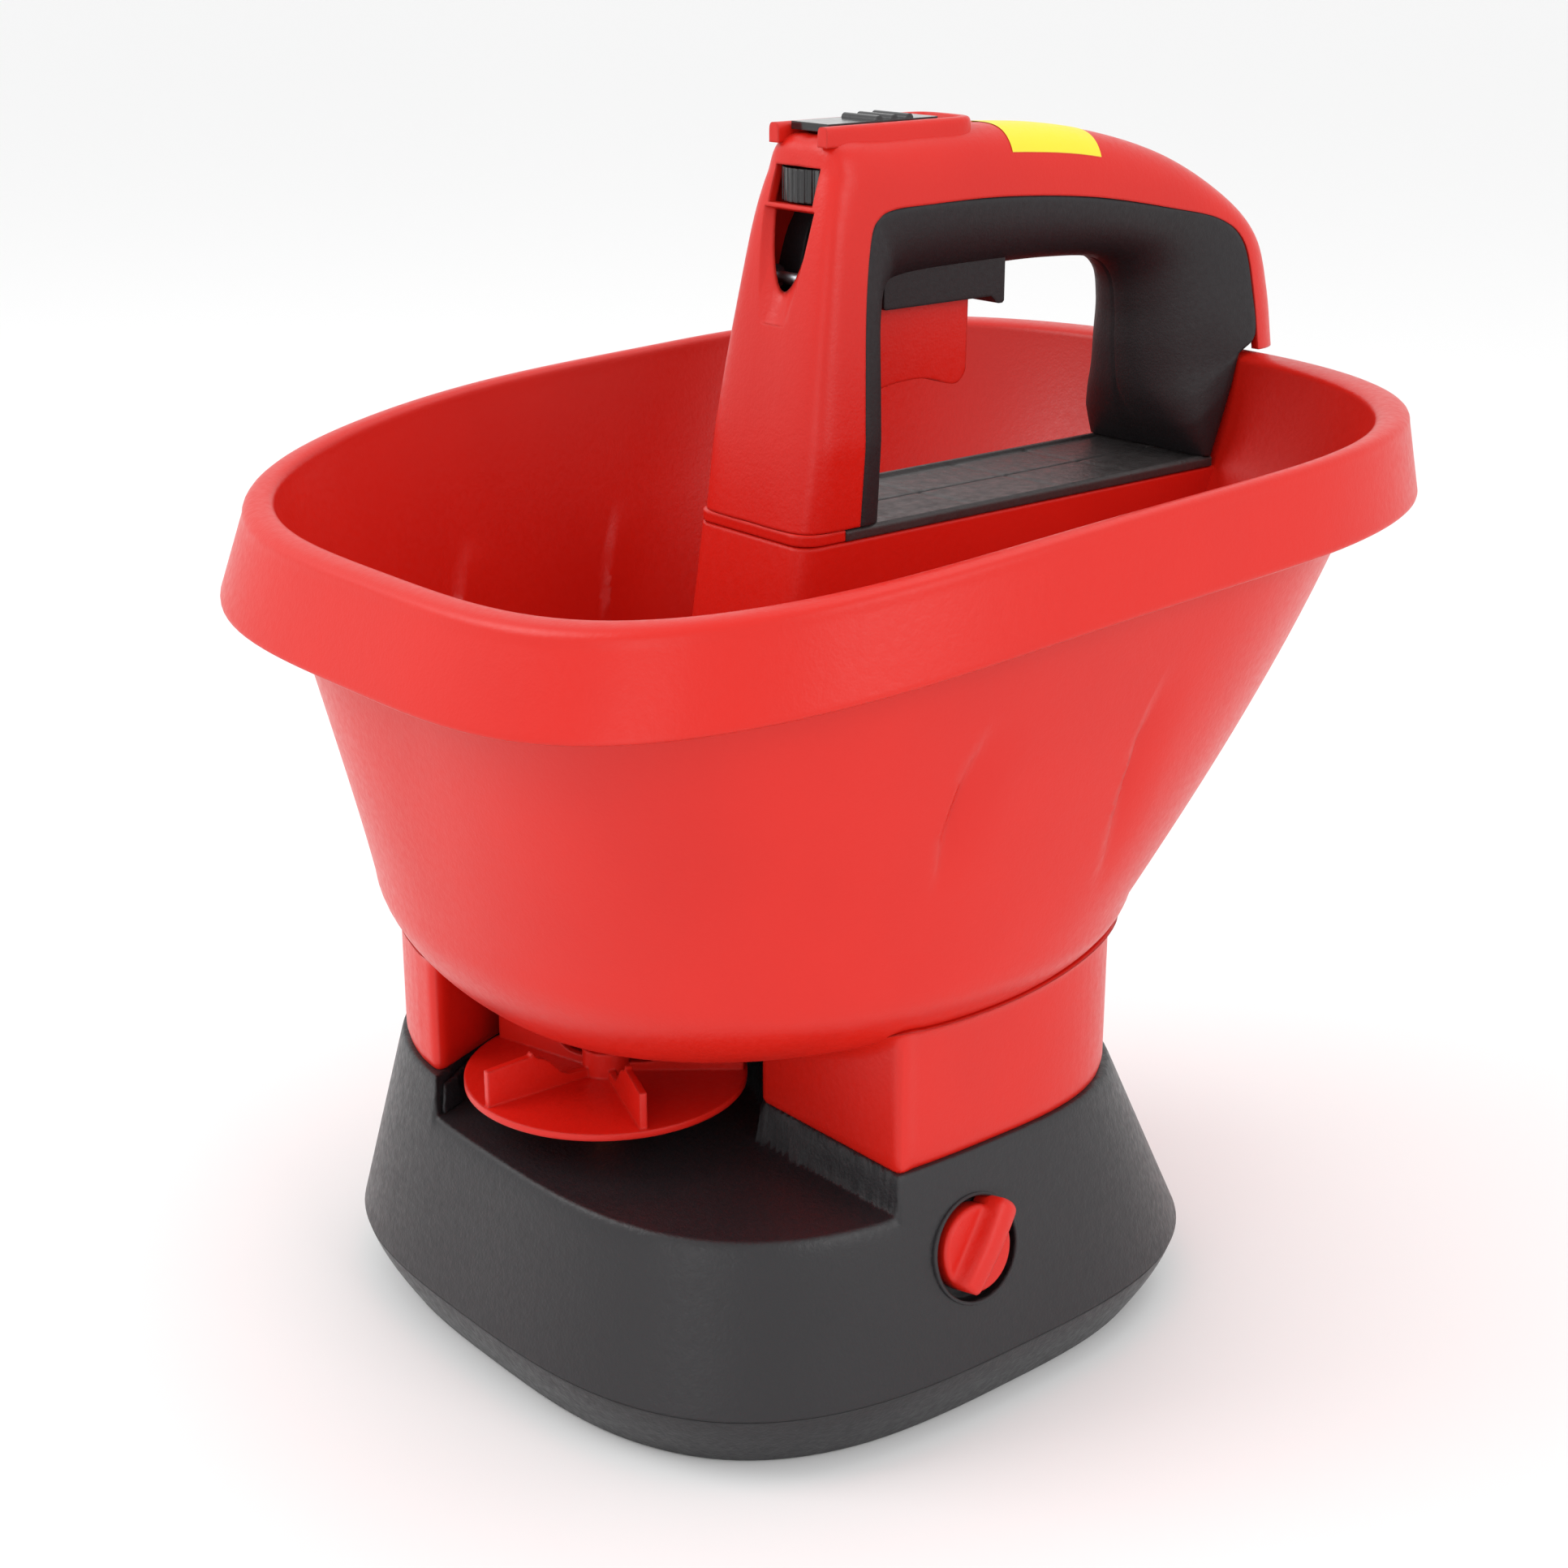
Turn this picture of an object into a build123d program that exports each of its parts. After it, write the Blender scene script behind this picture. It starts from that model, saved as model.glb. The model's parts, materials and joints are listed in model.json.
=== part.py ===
from build123d import *
import math
import os

# Handheld battery garden spreader: a red hopper on a black base, a loop handle with a trigger,
# and a vaned disc spinning in a notch at the front of the neck.
# Frame: +Z up, -Y is the front where the disc throws, +X is the side with the width knob.
# The origin is the middle of the base's underside. Millimetres.

os.makedirs("parts", exist_ok=True)

# ---- driving dimensions ----
WALL = 2.5                    # moulded wall thickness
OUTLINE_POINTS = 24           # points in each closed outline
GAP = 0.05                    # half gap between the two halves of the handle

# base: rounded square outline, tapering up and down from the parting line
BASE_HALF_X = 100.0
BASE_HALF_Y = 99.4
BASE_POWER = 3.0              # exponent of the rounded square
PART_Z = 16.4                 # parting line between tray and shell
BASE_TOP = 68.0
SIDE_DRAFT = 0.226            # inset per mm of height, front and sides
REAR_DRAFT = 0.50             # inset per mm of height, rear
TRAY_INSET = 8.0              # how much narrower the underside is than the parting line
RECESS_FLOOR = 58.0           # floor of the throwing recess

# neck: the hopper's foot, standing on the base
NECK_HALF_X = 87.4
NECK_FRONT = -86.7
NECK_REAR = 71.5
NECK_TOP = 115.0

# spinning disc and the notch it throws from
DISC_Y = -53.7
DISC_Z = 71.0                 # top face of the disc
DISC_R = 36.3
NOTCH_R = 42.0
NOTCH_WALL_Y = -31.0          # right cut face of the neck
VANES = 5
SPINDLE_R = 3.0

# hopper outlines: (height, half width, front, rear, widest y, front power, rear power)
CREASE = (119.0, 98.0, -99.0, 88.0, -5.0, 2.2, 2.2)
WALL_RINGS = (
    CREASE,
    (160.0, 104.4, -105.3, 123.1, 20.0, 2.7, 2.3),
    (205.0, 111.3, -112.2, 148.5, 44.0, 3.3, 2.4),
    (246.0, 117.4, -118.2, 159.5, 62.0, 3.6, 2.4),
)
FLOOR = (88.0, 40.0, -68.0, 35.0, -10.0, 2.1, 2.1)
BELLY_POWER = 1.7
RIM_POINTS = ((-150, 203), (-111, 213), (-60, 221.5), (-10, 227), (48, 230.2), (100, 232.6), (155, 234),
              (200, 234.6))
SKIRT_DROP = 21.8
SKIRT_RINGS = (
    (185.0, 125.4, -126.2, 177.0, 50.0, 3.4, 2.5),
    (246.0, 113.9, -104.6, 163.0, 60.0, 3.5, 2.5),
)
SKIRT_WALL = 2.2

# handle: side profile (y, z), half widths, finger opening
PLATFORM_TOP = 207.5
PLATFORM_BOTTOM = 204.5
ISLAND_TOP = 204.3
HANDLE_HALF_LOW = 22.0        # half width at the platform
HANDLE_HALF_TOP = 14.0        # half width at the spine
SPINE_TOP = 301.0
HANDLE_PROFILE = ((-6, 207.5), (0.5, 251), (6.5, 280), (12.5, 300.5), (60, SPINE_TOP), (99, 298.5),
                  (131, 290.5), (158, 277.5), (171, 264), (176.5, 248), (177.5, 236), (154, 236),
                  (144.4, 207.5))
HANDLE_RADII = (0.1, 60, 60, 5, 80, 80, 60, 24, 20, 20, 0.4, 0.4, 0.1)
GRIP_PROFILE = ((12, 207.5), (17.5, 270), (26, 283), (66, 283.5), (98, 281), (128, 276), (156, 269.5),
                (161.5, 236), (154, 236), (144.4, 207.5))
GRIP_RADII = (0.1, 10, 12, 60, 60, 40, 14, 0.4, 0.4, 0.1)
OPENING = ((23, 205), (27, 262.5), (45, 264), (86, 264.8), (123, 262), (124.5, 226), (148.5, 206))
OPENING_RADII = (0.2, 12, 40, 60, 10, 26, 0.2)

# trigger linkage
TRIGGER_PIVOT = (20.0, 250.0)
TRIGGER_HALF = 6.0
TRIGGER_TRAVEL = 12.0         # degrees
ROD_Y = 8.0
CRANK_PIVOT = (14.0, 110.0)
CRANK_OUT = 24.0              # length of the crank's lower arm
PIN_R = 2.0
RUN = 0.05                    # radial clearance of running fits
SHUTTER_LOW, SHUTTER_HIGH = 85.6, 87.0

# top slide and dose wheel
WHEEL_CENTRE = (20.2, 289.0)  # y, z
WHEEL_R = 11.5
WHEEL_H = 8.0

# drive
MODULE = 0.8
GEAR_TEETH = 48
PINION_TEETH = 12
GEAR_Z = 44.0
GEAR_H = 6.0
MOTOR_R = 14.0
MOTOR_Y = DISC_Y + MODULE * (GEAR_TEETH + PINION_TEETH) / 2

# side knob
KNOB_Y, KNOB_Z = -11.2, 44.4
KNOB_R = 11.0
KNOB_RECESS_R = 13.0

# battery pack
PACK_HALF_X = 37.0
PACK_LOW, PACK_HIGH = 19.6, 51.0
PACK_FRONT = 26.0

# fasteners and feet
FOOT_R = 8.0
FOOT_PLACES = [(sx * 64.0, sy * 66.0) for sx in (-1, 1) for sy in (-1, 1)]
BASE_SCREW_PLACES = [(sx * 66.0, sy * 48.0) for sx in (-1, 1) for sy in (-1, 1)]
HOPPER_SCREW_PLACES = [(-76.0, -20.0), (-76.0, 30.0), (76.0, -20.0), (76.0, 30.0)]
PLATE_SCREW_PLACES = [(-24.0, -60.0), (24.0, -60.0), (-24.0, -22.0), (24.0, -22.0)]
HANDLE_SCREWS = ((1.4, 216.0), (11.0, 266.0), (84.0, 291.5), (140.0, 280.0), (167.5, 247.0))
FOOT_SCREW = (163.6, 234.0)    # y, z of the screw up through the hopper's lip

# gear plate, battery bay, hopper details, trigger spring
PLATE_Z = 41.0
PLATE_H = 1.5
BUSH_R = 5.0
BAY_HALF = PACK_HALF_X + 2.6
BAY_LOW = 16.8
BAY_HIGH = PACK_HIGH + 2.6
BUTTON_HALF = 9.0
KNOB_REST = 47.0              # the pointer's angle at rest, from +Y towards +Z
NECK_RING = (0.0, NECK_HALF_X, NECK_FRONT, NECK_REAR, 0.0, BASE_POWER, BASE_POWER)
BELLY_HEIGHTS = (CREASE[0], 111.0, 102.0, 93.5, 89.0, FLOOR[0])
BURY = 1.2                    # how deep joined walls run into each other
ISLAND_HALF = 22.0
ISLAND_OUTER = ((-25, 84), (-6, ISLAND_TOP), (170, ISLAND_TOP), (170, 84))
ISLAND_INNER = ((-22.5, 80), (-3.4, ISLAND_TOP - WALL), (180, ISLAND_TOP - WALL), (180, 80))
SPRING_Y = 47.0
SPRING_LOW = 243.0
SPRING_HIGH = 279.0


# ---- helpers ----
def egg(ring, inset=0.0, count=OUTLINE_POINTS):
    """Closed outline at one height: a superellipse with its own front and rear reach and power."""
    z, half, front, rear, widest, n_front, n_rear = ring
    points = []
    for i in range(count):
        angle = 2 * math.pi * i / count
        c, s = math.cos(angle), math.sin(angle)
        power = n_front if s < 0 else n_rear
        reach = (widest - front - inset) if s < 0 else (rear - inset - widest)
        r = (abs(c) ** power + abs(s) ** power) ** (-1 / power)
        points.append(Vector((half - inset) * r * c, widest + reach * r * s, z))
    steps = [float(i) for i in range(count + 1)]
    return Wire([Edge.make_spline(points, periodic=True, parameters=steps)])


def stack(rings, inset=0.0):
    """Solid through a list of outlines."""
    return Solid.make_loft([egg(ring, inset) for ring in rings])


def base_ring(z):
    """The base's outline at height z."""
    if z < PART_Z:
        inset = TRAY_INSET * (1 - z / PART_Z) ** 1.3
        rear_inset = inset
    else:
        inset = SIDE_DRAFT * (z - PART_Z)
        rear_inset = REAR_DRAFT * (z - PART_Z)
    front, rear = inset - BASE_HALF_Y, BASE_HALF_Y - rear_inset
    return (z, BASE_HALF_X - inset, front, rear, 0.0, BASE_POWER, BASE_POWER)


def belly_ring(z):
    """Hopper outline below the crease: the side profile is a superelliptic curve down to the flat floor."""
    depth = (CREASE[0] - z) / (CREASE[0] - FLOOR[0])
    share = (1 - depth ** BELLY_POWER) ** (1 / BELLY_POWER)
    mixed = [low + (high - low) * share for low, high in zip(FLOOR[1:], CREASE[1:])]
    return (z, *mixed)


def block(x0, x1, y0, y1, z0, z1):
    return Pos((x0 + x1) / 2, (y0 + y1) / 2, (z0 + z1) / 2) * Box(x1 - x0, y1 - y0, z1 - z0)


def rod(start, end, radius):
    """Cylinder from one point to another."""
    start, end = Vector(*start), Vector(*end)
    return extrude(Plane(start, z_dir=end - start) * Circle(radius), (end - start).length)


def side_face(points, radii=None):
    """Face in the YZ plane from (y, z) corners, with a rounding radius for each corner."""
    if radii is None:
        return make_face(Polyline(*points, close=True))
    face = make_face(Polyline(*points, close=True))
    for point, radius in zip(points, radii):
        if radius < 0.3:
            continue
        corner = face.vertices().sort_by_distance((point[0], point[1], 0))[0]
        if (Vector(*corner.center()) - Vector(point[0], point[1], 0)).length < 0.01:
            face = fillet_2d_safe(face, corner, radius)
    return face


def fillet_2d_safe(face, corner, radius):
    """Round a corner, with a smaller radius where the neighbouring edges are too short."""
    while radius > 0.3:
        try:
            return Sketch() + face.face().fillet_2d(radius, [corner])
        except Exception:
            radius *= 0.7
    return face


def plate_x(points, x0, x1, radii=None):
    """Side profile (y, z) extruded along X."""
    return extrude(Plane.YZ.offset(x0) * side_face(points, radii), x1 - x0)


def screw(head, tip, shank_r, head_r, head_h):
    """Pan-head screw from the head's top to its tip, with a cross recess."""
    head, tip = Vector(*head), Vector(*tip)
    direction = (tip - head).normalized()
    length = (tip - head).length
    plane = Plane(head, z_dir=direction)
    body = extrude(plane * Circle(head_r), head_h) + extrude(plane * Circle(shank_r), length)
    for angle in (0, 90):
        slot = extrude(plane * Rot(0, 0, angle) * Rectangle(head_r * 1.2, head_r * 0.28), head_h * 0.55)
        body -= slot
    return body


def save(name, *solids):
    """Write one sub-part."""
    shapes = [s for solid in solids for s in solid.solids()]
    shape = shapes[0] if len(shapes) == 1 else Compound(shapes)
    export_step(shape, f"parts/{name}.step")


# ---- shared outlines ----
def rim_block(drop):
    """Everything below the rim's curved top edge, lowered by drop."""
    top = Spline(*[(y, z - drop) for y, z in RIM_POINTS])
    first, last = RIM_POINTS[0], RIM_POINTS[-1]
    sides = Polyline((last[0], last[1] - drop), (last[0], 20), (first[0], 20), (first[0], first[1] - drop))
    return extrude(Plane.YZ.offset(-160) * make_face([top, *sides.edges()]), 320)


def notch_region(grow):
    """Plan of the fan the disc throws through: a round pocket opening to the front and the right."""
    g = grow
    right = NOTCH_WALL_Y + g
    fan = Polyline((0, right), (160, right), (160, -160), (-8 - g, -160), (-29 - 1.1 * g, -88),
                   (-46 - g, -46), (0, right), close=False)
    return Pos(0, DISC_Y) * Circle(NOTCH_R + g) + make_face(fan)


def notch(grow, z0, z1):
    return extrude(Pos(0, 0, z0) * notch_region(grow), z1 - z0)


def handle_block():
    """Outer volume of the handle: side profile cut by a front view that narrows towards the spine."""
    side = plate_x(HANDLE_PROFILE, -HANDLE_HALF_LOW, HANDLE_HALF_LOW, HANDLE_RADII)
    low, high = 200.0, SPINE_TOP + 2
    half_low = HANDLE_HALF_LOW + 0.3
    front = Polyline((-half_low, low), (-HANDLE_HALF_LOW, PLATFORM_TOP + 20), (-HANDLE_HALF_TOP, high),
                     (HANDLE_HALF_TOP, high), (HANDLE_HALF_LOW, PLATFORM_TOP + 20), (half_low, low),
                     close=True)
    return side & extrude(Plane.XZ.offset(-250) * make_face(front), 500)


# ---- base ----
def base_tray():
    rings = [base_ring(z) for z in (0.0, 5.0, 10.5, PART_Z - 0.2)]
    inner = [(z, *base_ring(max(z, 2.5))[1:]) for z in (WALL, 7.0, 12.0, PART_Z + 1)]
    tray = stack(rings) - stack(inner, WALL)
    for x, y in FOOT_PLACES:
        tray -= rod((x, y, -1), (x, y, 1.2), FOOT_R)
    for x, y in BASE_SCREW_PLACES:
        tray += rod((x, y, WALL - 0.5), (x, y, PART_Z - 0.4), 5.0)
        tray -= rod((x, y, -1), (x, y, 5.0), 4.0)
        tray -= rod((x, y, 4), (x, y, 20), 2.05)
    tray += rod((0, MOTOR_Y, WALL - 0.5), (0, MOTOR_Y, 5.8), 9.0)
    return tray


def feet():
    return [rod((x, y, 0), (x, y, 1.2), FOOT_R - 0.1) for x, y in FOOT_PLACES]


def base_screws():
    return [screw((x, y, 2.6), (x, y, 30.0), 2.0, 3.7, 2.4) for x, y in BASE_SCREW_PLACES]


def knob_axis():
    """Plane on the base's right wall, its normal pointing out along the knob's axis."""
    tilt = math.atan(SIDE_DRAFT)
    x_wall = base_wall_x(KNOB_Y, KNOB_Z)
    return Plane((x_wall, KNOB_Y, KNOB_Z), x_dir=(0, 1, 0), z_dir=(math.cos(tilt), 0, math.sin(tilt)))


def base_wall_x(y, z):
    """Half width of the base's outline at one y and height."""
    _, half, front, rear, _, power, _ = base_ring(z)
    reach = -front if y < 0 else rear
    return half * (1 - (abs(y) / reach) ** power) ** (1 / power)


def base_shell():
    shell = stack([base_ring(PART_Z), base_ring(BASE_TOP)])
    shell -= notch(0, RECESS_FLOOR, BASE_TOP + 5)
    low, high = base_ring(PART_Z), base_ring(BASE_TOP - WALL)
    hollow = stack([(PART_Z - 1, *low[1:]), high], WALL)
    hollow -= notch(WALL, RECESS_FLOOR - WALL, BASE_TOP)
    shell -= hollow
    knob = knob_axis()
    well = extrude(knob.offset(-7) * Circle(KNOB_RECESS_R + 2), 6.5)
    shell += well & stack([base_ring(PART_Z), base_ring(BASE_TOP)])
    shell -= extrude(knob.offset(-4.5) * Circle(KNOB_RECESS_R), 20)
    shell -= extrude(knob.offset(-20) * Circle(3.1), 30)
    for x, y in BASE_SCREW_PLACES:
        shell += rod((x, y, PART_Z), (x, y, BASE_TOP - 1), 4.5) - notch(0, RECESS_FLOOR - 1, BASE_TOP)
        shell -= rod((x, y, PART_Z - 1), (x, y, 34), 2.05)
    for x, y in HOPPER_SCREW_PLACES:
        shell -= rod((x, y, 50), (x, y, 80), 2.05)
    for x, y in PLATE_SCREW_PLACES:
        shell += rod((x, y, PLATE_Z + PLATE_H), (x, y, RECESS_FLOOR - 1), 3.5)
        shell -= rod((x, y, PLATE_Z), (x, y, RECESS_FLOOR - 2.2), 1.3)
    shell -= rod((0, DISC_Y, 50), (0, DISC_Y, 70), BUSH_R)
    shell -= rod((0, 20, 60), (0, 20, 80), 8.0)
    shell -= block(-BAY_HALF - 0.2, BAY_HALF + 0.2, 60, 120, PART_Z - 1, BAY_HIGH + 0.2)
    return shell


def spindle_bushes():
    low = rod((0, DISC_Y, PLATE_Z), (0, DISC_Y, PLATE_Z + PLATE_H), BUSH_R - 0.02)
    low += rod((0, DISC_Y, PLATE_Z - 2), (0, DISC_Y, PLATE_Z), BUSH_R + 1.5)
    high = rod((0, DISC_Y, RECESS_FLOOR - WALL), (0, DISC_Y, RECESS_FLOOR + 1), BUSH_R - 0.02)
    high += rod((0, DISC_Y, RECESS_FLOOR), (0, DISC_Y, RECESS_FLOOR + 1.2), BUSH_R + 1.5)
    bore = rod((0, DISC_Y, PLATE_Z - 5), (0, DISC_Y, 70), SPINDLE_R + RUN)
    return [low - bore, high - bore]


def battery_bay():
    """Sleeve the battery pack slides into, open at the rear."""
    outer = block(-BAY_HALF, BAY_HALF, PACK_FRONT - 5, 120, BAY_LOW, BAY_HIGH)
    outer &= stack([base_ring(PART_Z), base_ring(BASE_TOP)], 0.3)
    return outer - block(-BAY_HALF + 2, BAY_HALF - 2, PACK_FRONT - 3, 130, BAY_LOW + 2, BAY_HIGH - 2)


def battery_contacts():
    """Three blades on a carrier at the end of the bay."""
    carrier = block(-16, 16, PACK_FRONT - 3, PACK_FRONT - 0.6, 28, 44)
    blades = [block(x - 0.4, x + 0.4, PACK_FRONT - 0.6, PACK_FRONT + 6, 32, 40) for x in (-10, 0, 10)]
    return carrier, blades


def battery_pack():
    outer = block(-PACK_HALF_X, PACK_HALF_X, PACK_FRONT, 120, PACK_LOW, PACK_HIGH)
    outer &= stack([base_ring(PART_Z), base_ring(BASE_TOP)], 0.6)
    for x in (-10, 0, 10):
        outer -= block(x - 1.2, x + 1.2, PACK_FRONT - 1, PACK_FRONT + 8, 31, 41)
    outer -= block(-BUTTON_HALF - 0.4, BUTTON_HALF + 0.4, 68, 120, PACK_HIGH - 11.4, PACK_HIGH + 1)
    for side in (-1, 1):
        outer -= block(side * PACK_HALF_X - 1.2, side * PACK_HALF_X + 1.2, PACK_FRONT - 1, 84, 34, 37)
    return outer


def release_button():
    button = block(-BUTTON_HALF, BUTTON_HALF, 68.6, 110, PACK_HIGH - 8.0, PACK_HIGH)
    button &= stack([base_ring(PART_Z), base_ring(BASE_TOP)], 0.2)
    for y in (72, 75, 78):
        button -= block(-6.5, 6.5, y, y + 1.2, PACK_HIGH - 0.6, PACK_HIGH + 1)
    return button


# ---- drive ----
def gear_outline(teeth, backlash):
    """Involute spur gear outline, thinned by the backlash."""
    pitch = MODULE * teeth / 2
    base = pitch * math.cos(math.radians(20))
    tip, root = pitch + 0.9 * MODULE, pitch - 1.2 * MODULE
    inv = math.tan(math.radians(20)) - math.radians(20)
    half = math.pi / (2 * teeth) - backlash / (2 * pitch) + inv
    points = []
    for k in range(teeth):
        middle = 2 * math.pi * k / teeth
        flank = []
        for i in range(5):
            r = max(base, root) + (tip - max(base, root)) * i / 4
            roll = math.acos(min(1.0, base / r))
            flank.append((r, half - (math.tan(roll) - roll)))
        if root < base:
            flank.insert(0, (root, flank[0][1]))
        points += [(r, middle - a) for r, a in flank] + [(r, middle + a) for r, a in reversed(flank)]
    return make_face(Polyline(*[(r * math.cos(a), r * math.sin(a)) for r, a in points], close=True))


def spinner_gear():
    face = gear_outline(GEAR_TEETH, 0.14) - Circle(SPINDLE_R)
    gear = extrude(Pos(0, DISC_Y, GEAR_Z) * face, GEAR_H)
    for k in range(6):
        a = math.radians(60 * k + 30)
        x, y = 10.5 * math.cos(a), DISC_Y + 10.5 * math.sin(a)
        gear -= rod((x, y, GEAR_Z - 1), (x, y, GEAR_Z + GEAR_H + 1), 3.2)
    return gear


def pinion():
    """Meshes with the gear on the line towards +Y: a gap faces the gear's tooth."""
    face = Rot(0, 0, -90 + 180 / PINION_TEETH) * gear_outline(PINION_TEETH, 0.14) - Circle(1.6)
    return extrude(Pos(0, MOTOR_Y, GEAR_Z) * face, GEAR_H)


def motor_shaft():
    return rod((0, MOTOR_Y, 34), (0, MOTOR_Y, GEAR_Z + GEAR_H + 1), 1.6)


def motor():
    can = rod((0, MOTOR_Y, 6), (0, MOTOR_Y, PLATE_Z - 0.01), MOTOR_R)
    can += rod((0, MOTOR_Y, PLATE_Z - 0.5), (0, MOTOR_Y, PLATE_Z + PLATE_H), 4.9)
    can -= rod((0, MOTOR_Y, 33), (0, MOTOR_Y, 60), 1.6 + RUN)
    for x in (-8, 8):
        can -= rod((x, MOTOR_Y, PLATE_Z - 6), (x, MOTOR_Y, PLATE_Z + 1), 1.3)
    return can


def gear_plate():
    plate = extrude(Pos(0, (DISC_Y + MOTOR_Y) / 2, PLATE_Z) * RectangleRounded(58, 54, 8), PLATE_H)
    plate -= rod((0, DISC_Y, 30), (0, DISC_Y, 50), BUSH_R)
    plate -= rod((0, MOTOR_Y, 30), (0, MOTOR_Y, 50), 5.0)
    for x in (-8, 8):
        plate -= rod((x, MOTOR_Y, 30), (x, MOTOR_Y, 50), 1.5)
    for x, y in PLATE_SCREW_PLACES:
        plate -= rod((x, y, 30), (x, y, 50), 1.5)
    return plate


def plate_screws():
    long = [screw((x, y, PLATE_Z - 1.4), (x, y, 52), 1.25, 2.6, 1.4) for x, y in PLATE_SCREW_PLACES]
    top = PLATE_Z + PLATE_H + 1.2
    short = [screw((x, MOTOR_Y, top), (x, MOTOR_Y, PLATE_Z - 4), 1.25, 2.4, 1.2) for x in (-8, 8)]
    return long + short


def spindle():
    shaft = rod((0, DISC_Y, PLATE_Z - 3), (0, DISC_Y, 108), SPINDLE_R)
    shaft -= rod((0, DISC_Y, 107), (0, DISC_Y, 110), 1.2)
    return shaft


def vane_outline():
    """Low at the hub, rising in an S-curve to full height at six tenths of the radius, with a nib there."""
    low, full = 2.5, 10.4
    rise = Spline((9.0, low), (13, low + 0.8), (19.0, full - 1.6), (21.6, full + 0.1),
                  tangents=((1, 0), (0.5, 1)))
    rest = Polyline((21.6, full + 0.1), (22.2, full + 0.9), (22.9, full + 0.1), (DISC_R - 1.0, full - 0.6),
                    (DISC_R - 1.0, 0), (3.4, 0), (3.4, low), (9.0, low))
    return make_face([rise, *rest.edges()])


def disc():
    plate = rod((0, DISC_Y, DISC_Z - 1.8), (0, DISC_Y, DISC_Z), DISC_R)
    plate += rod((0, DISC_Y, DISC_Z - 6.0), (0, DISC_Y, DISC_Z + 7.0), 6.0)
    for k in range(VANES):
        angle = 360 * k / VANES - 93.0
        stand = Plane(origin=(0, DISC_Y, DISC_Z - 0.1)) * Rot(0, 0, angle) * Rot(90, 0, 0)
        plate += extrude(stand * vane_outline(), 0.9, both=True)
    return plate - rod((0, DISC_Y, 50), (0, DISC_Y, 90), SPINDLE_R)


def agitator():
    """Bent wire stirrer pinned through the top of the spindle."""
    hub = rod((0, DISC_Y, 98), (0, DISC_Y, 106), 5.5) - rod((0, DISC_Y, 90), (0, DISC_Y, 110), SPINDLE_R)
    for side in (-1, 1):
        hub += rod((side * 5, DISC_Y, 102), (side * 17, DISC_Y, 102), 1.6)
        hub += rod((side * 17, DISC_Y, 102), (side * 17, DISC_Y, 94), 1.6)
        hub += Pos(side * 17, DISC_Y, 102) * Sphere(1.6)
    return hub


def control_board():
    board = block(-34, 34, -8, 16, 22, 23.6)
    for x, y, w, d, h in ((-22, 4, 8, 10, 9), (-6, 2, 12, 8, 5), (14, 6, 6, 6, 11), (26, -2, 9, 6, 4)):
        board += block(x - w / 2, x + w / 2, y - d / 2, y + d / 2, 23.4, 23.6 + h)
    return board


# ---- width knob ----
def knob_parts():
    plane = knob_axis()
    face = extrude(plane.offset(-3.9) * Circle(KNOB_R), 3.9)
    face += extrude(plane.offset(-0.2) * Circle(KNOB_R), 0.8)
    bar = SlotOverall(2 * KNOB_R - 1.5, 6.6)
    blade = Rot(0, 0, KNOB_REST) * (bar + Pos(KNOB_R - 1, 0) * RectangleRounded(4.5, 6.6, 1.4))
    face += extrude(plane.offset(0) * blade, 6.5)
    face -= extrude(plane.offset(-12) * Circle(3.0), 11)
    shaft = extrude(plane.offset(-16) * Circle(3.0), 15)
    return face, shaft


def potentiometer():
    plane = knob_axis()
    body = extrude(plane.offset(-24) * Circle(8.5), 12)
    body += extrude(plane.offset(-13) * Circle(4.4), 5.9)
    return body - extrude(plane.offset(-17) * Circle(3.0 + RUN), 20)


# ---- hopper ----
def bowl_volume(inset, raised=0.0):
    """Volume inside the hopper's outer surface, drawn in by inset, with the floor raised."""
    rings = [belly_ring(z) for z in BELLY_HEIGHTS]
    belly = [CREASE] + [(ring[0] + raised, *ring[1:]) for ring in rings[1:]]
    return stack(WALL_RINGS, inset) + stack(belly, inset)


def bowl():
    shell = bowl_volume(0) - bowl_volume(WALL, WALL)
    outlet = block(-11, 11, -43, -30, 80, 95)
    spindle_hole = rod((0, DISC_Y, 80), (0, DISC_Y, 95), SPINDLE_R + 0.8)
    under_island = block(-18, 18, -19, 24, 84, 96)
    crank_slot = block(-8.5, 8.5, 20, 31, 84, 96)
    return shell - [outlet, spindle_hole, under_island, crank_slot, foot_screw_hole()]


def foot_screw_hole():
    y, z = FOOT_SCREW
    return rod((0, y, z - 12), (0, y, z + 8), 1.75)


def skirt():
    """Band hanging from the rim and the lip that joins it to the bowl, both still uncut at the top."""
    band = stack(SKIRT_RINGS) - stack(SKIRT_RINGS, SKIRT_WALL) - rim_block(SKIRT_DROP)
    lip = stack(SKIRT_RINGS, SKIRT_WALL / 2) - stack(WALL_RINGS, WALL / 2) - rim_block(WALL)
    return (band - foot_screw_hole()) + (lip - foot_screw_hole())


def neck():
    """Wall of the hopper's foot: the base's outline with the throwing notch cut in, as one closed loop."""
    loop = Face(egg(NECK_RING)) - notch_region(0)
    loop -= Face(egg(NECK_RING, WALL)) - notch_region(WALL)
    wall = extrude(Pos(0, 0, BASE_TOP) * loop, NECK_TOP - BASE_TOP)
    wall -= stack([belly_ring(z) for z in BELLY_HEIGHTS], BURY)
    wall -= block(-22, 22, -20, -2, 76, FLOOR[0])
    for x, y in HOPPER_SCREW_PLACES:
        web_end = x * 86 / 76
        wall += rod((x, y, BASE_TOP), (x, y, 90), 4.5)
        wall += block(min(x, web_end), max(x, web_end), y - 1, y + 1, BASE_TOP, 90)
        wall -= rod((x, y, 60), (x, y, 84), 2.05)
    return wall


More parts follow.
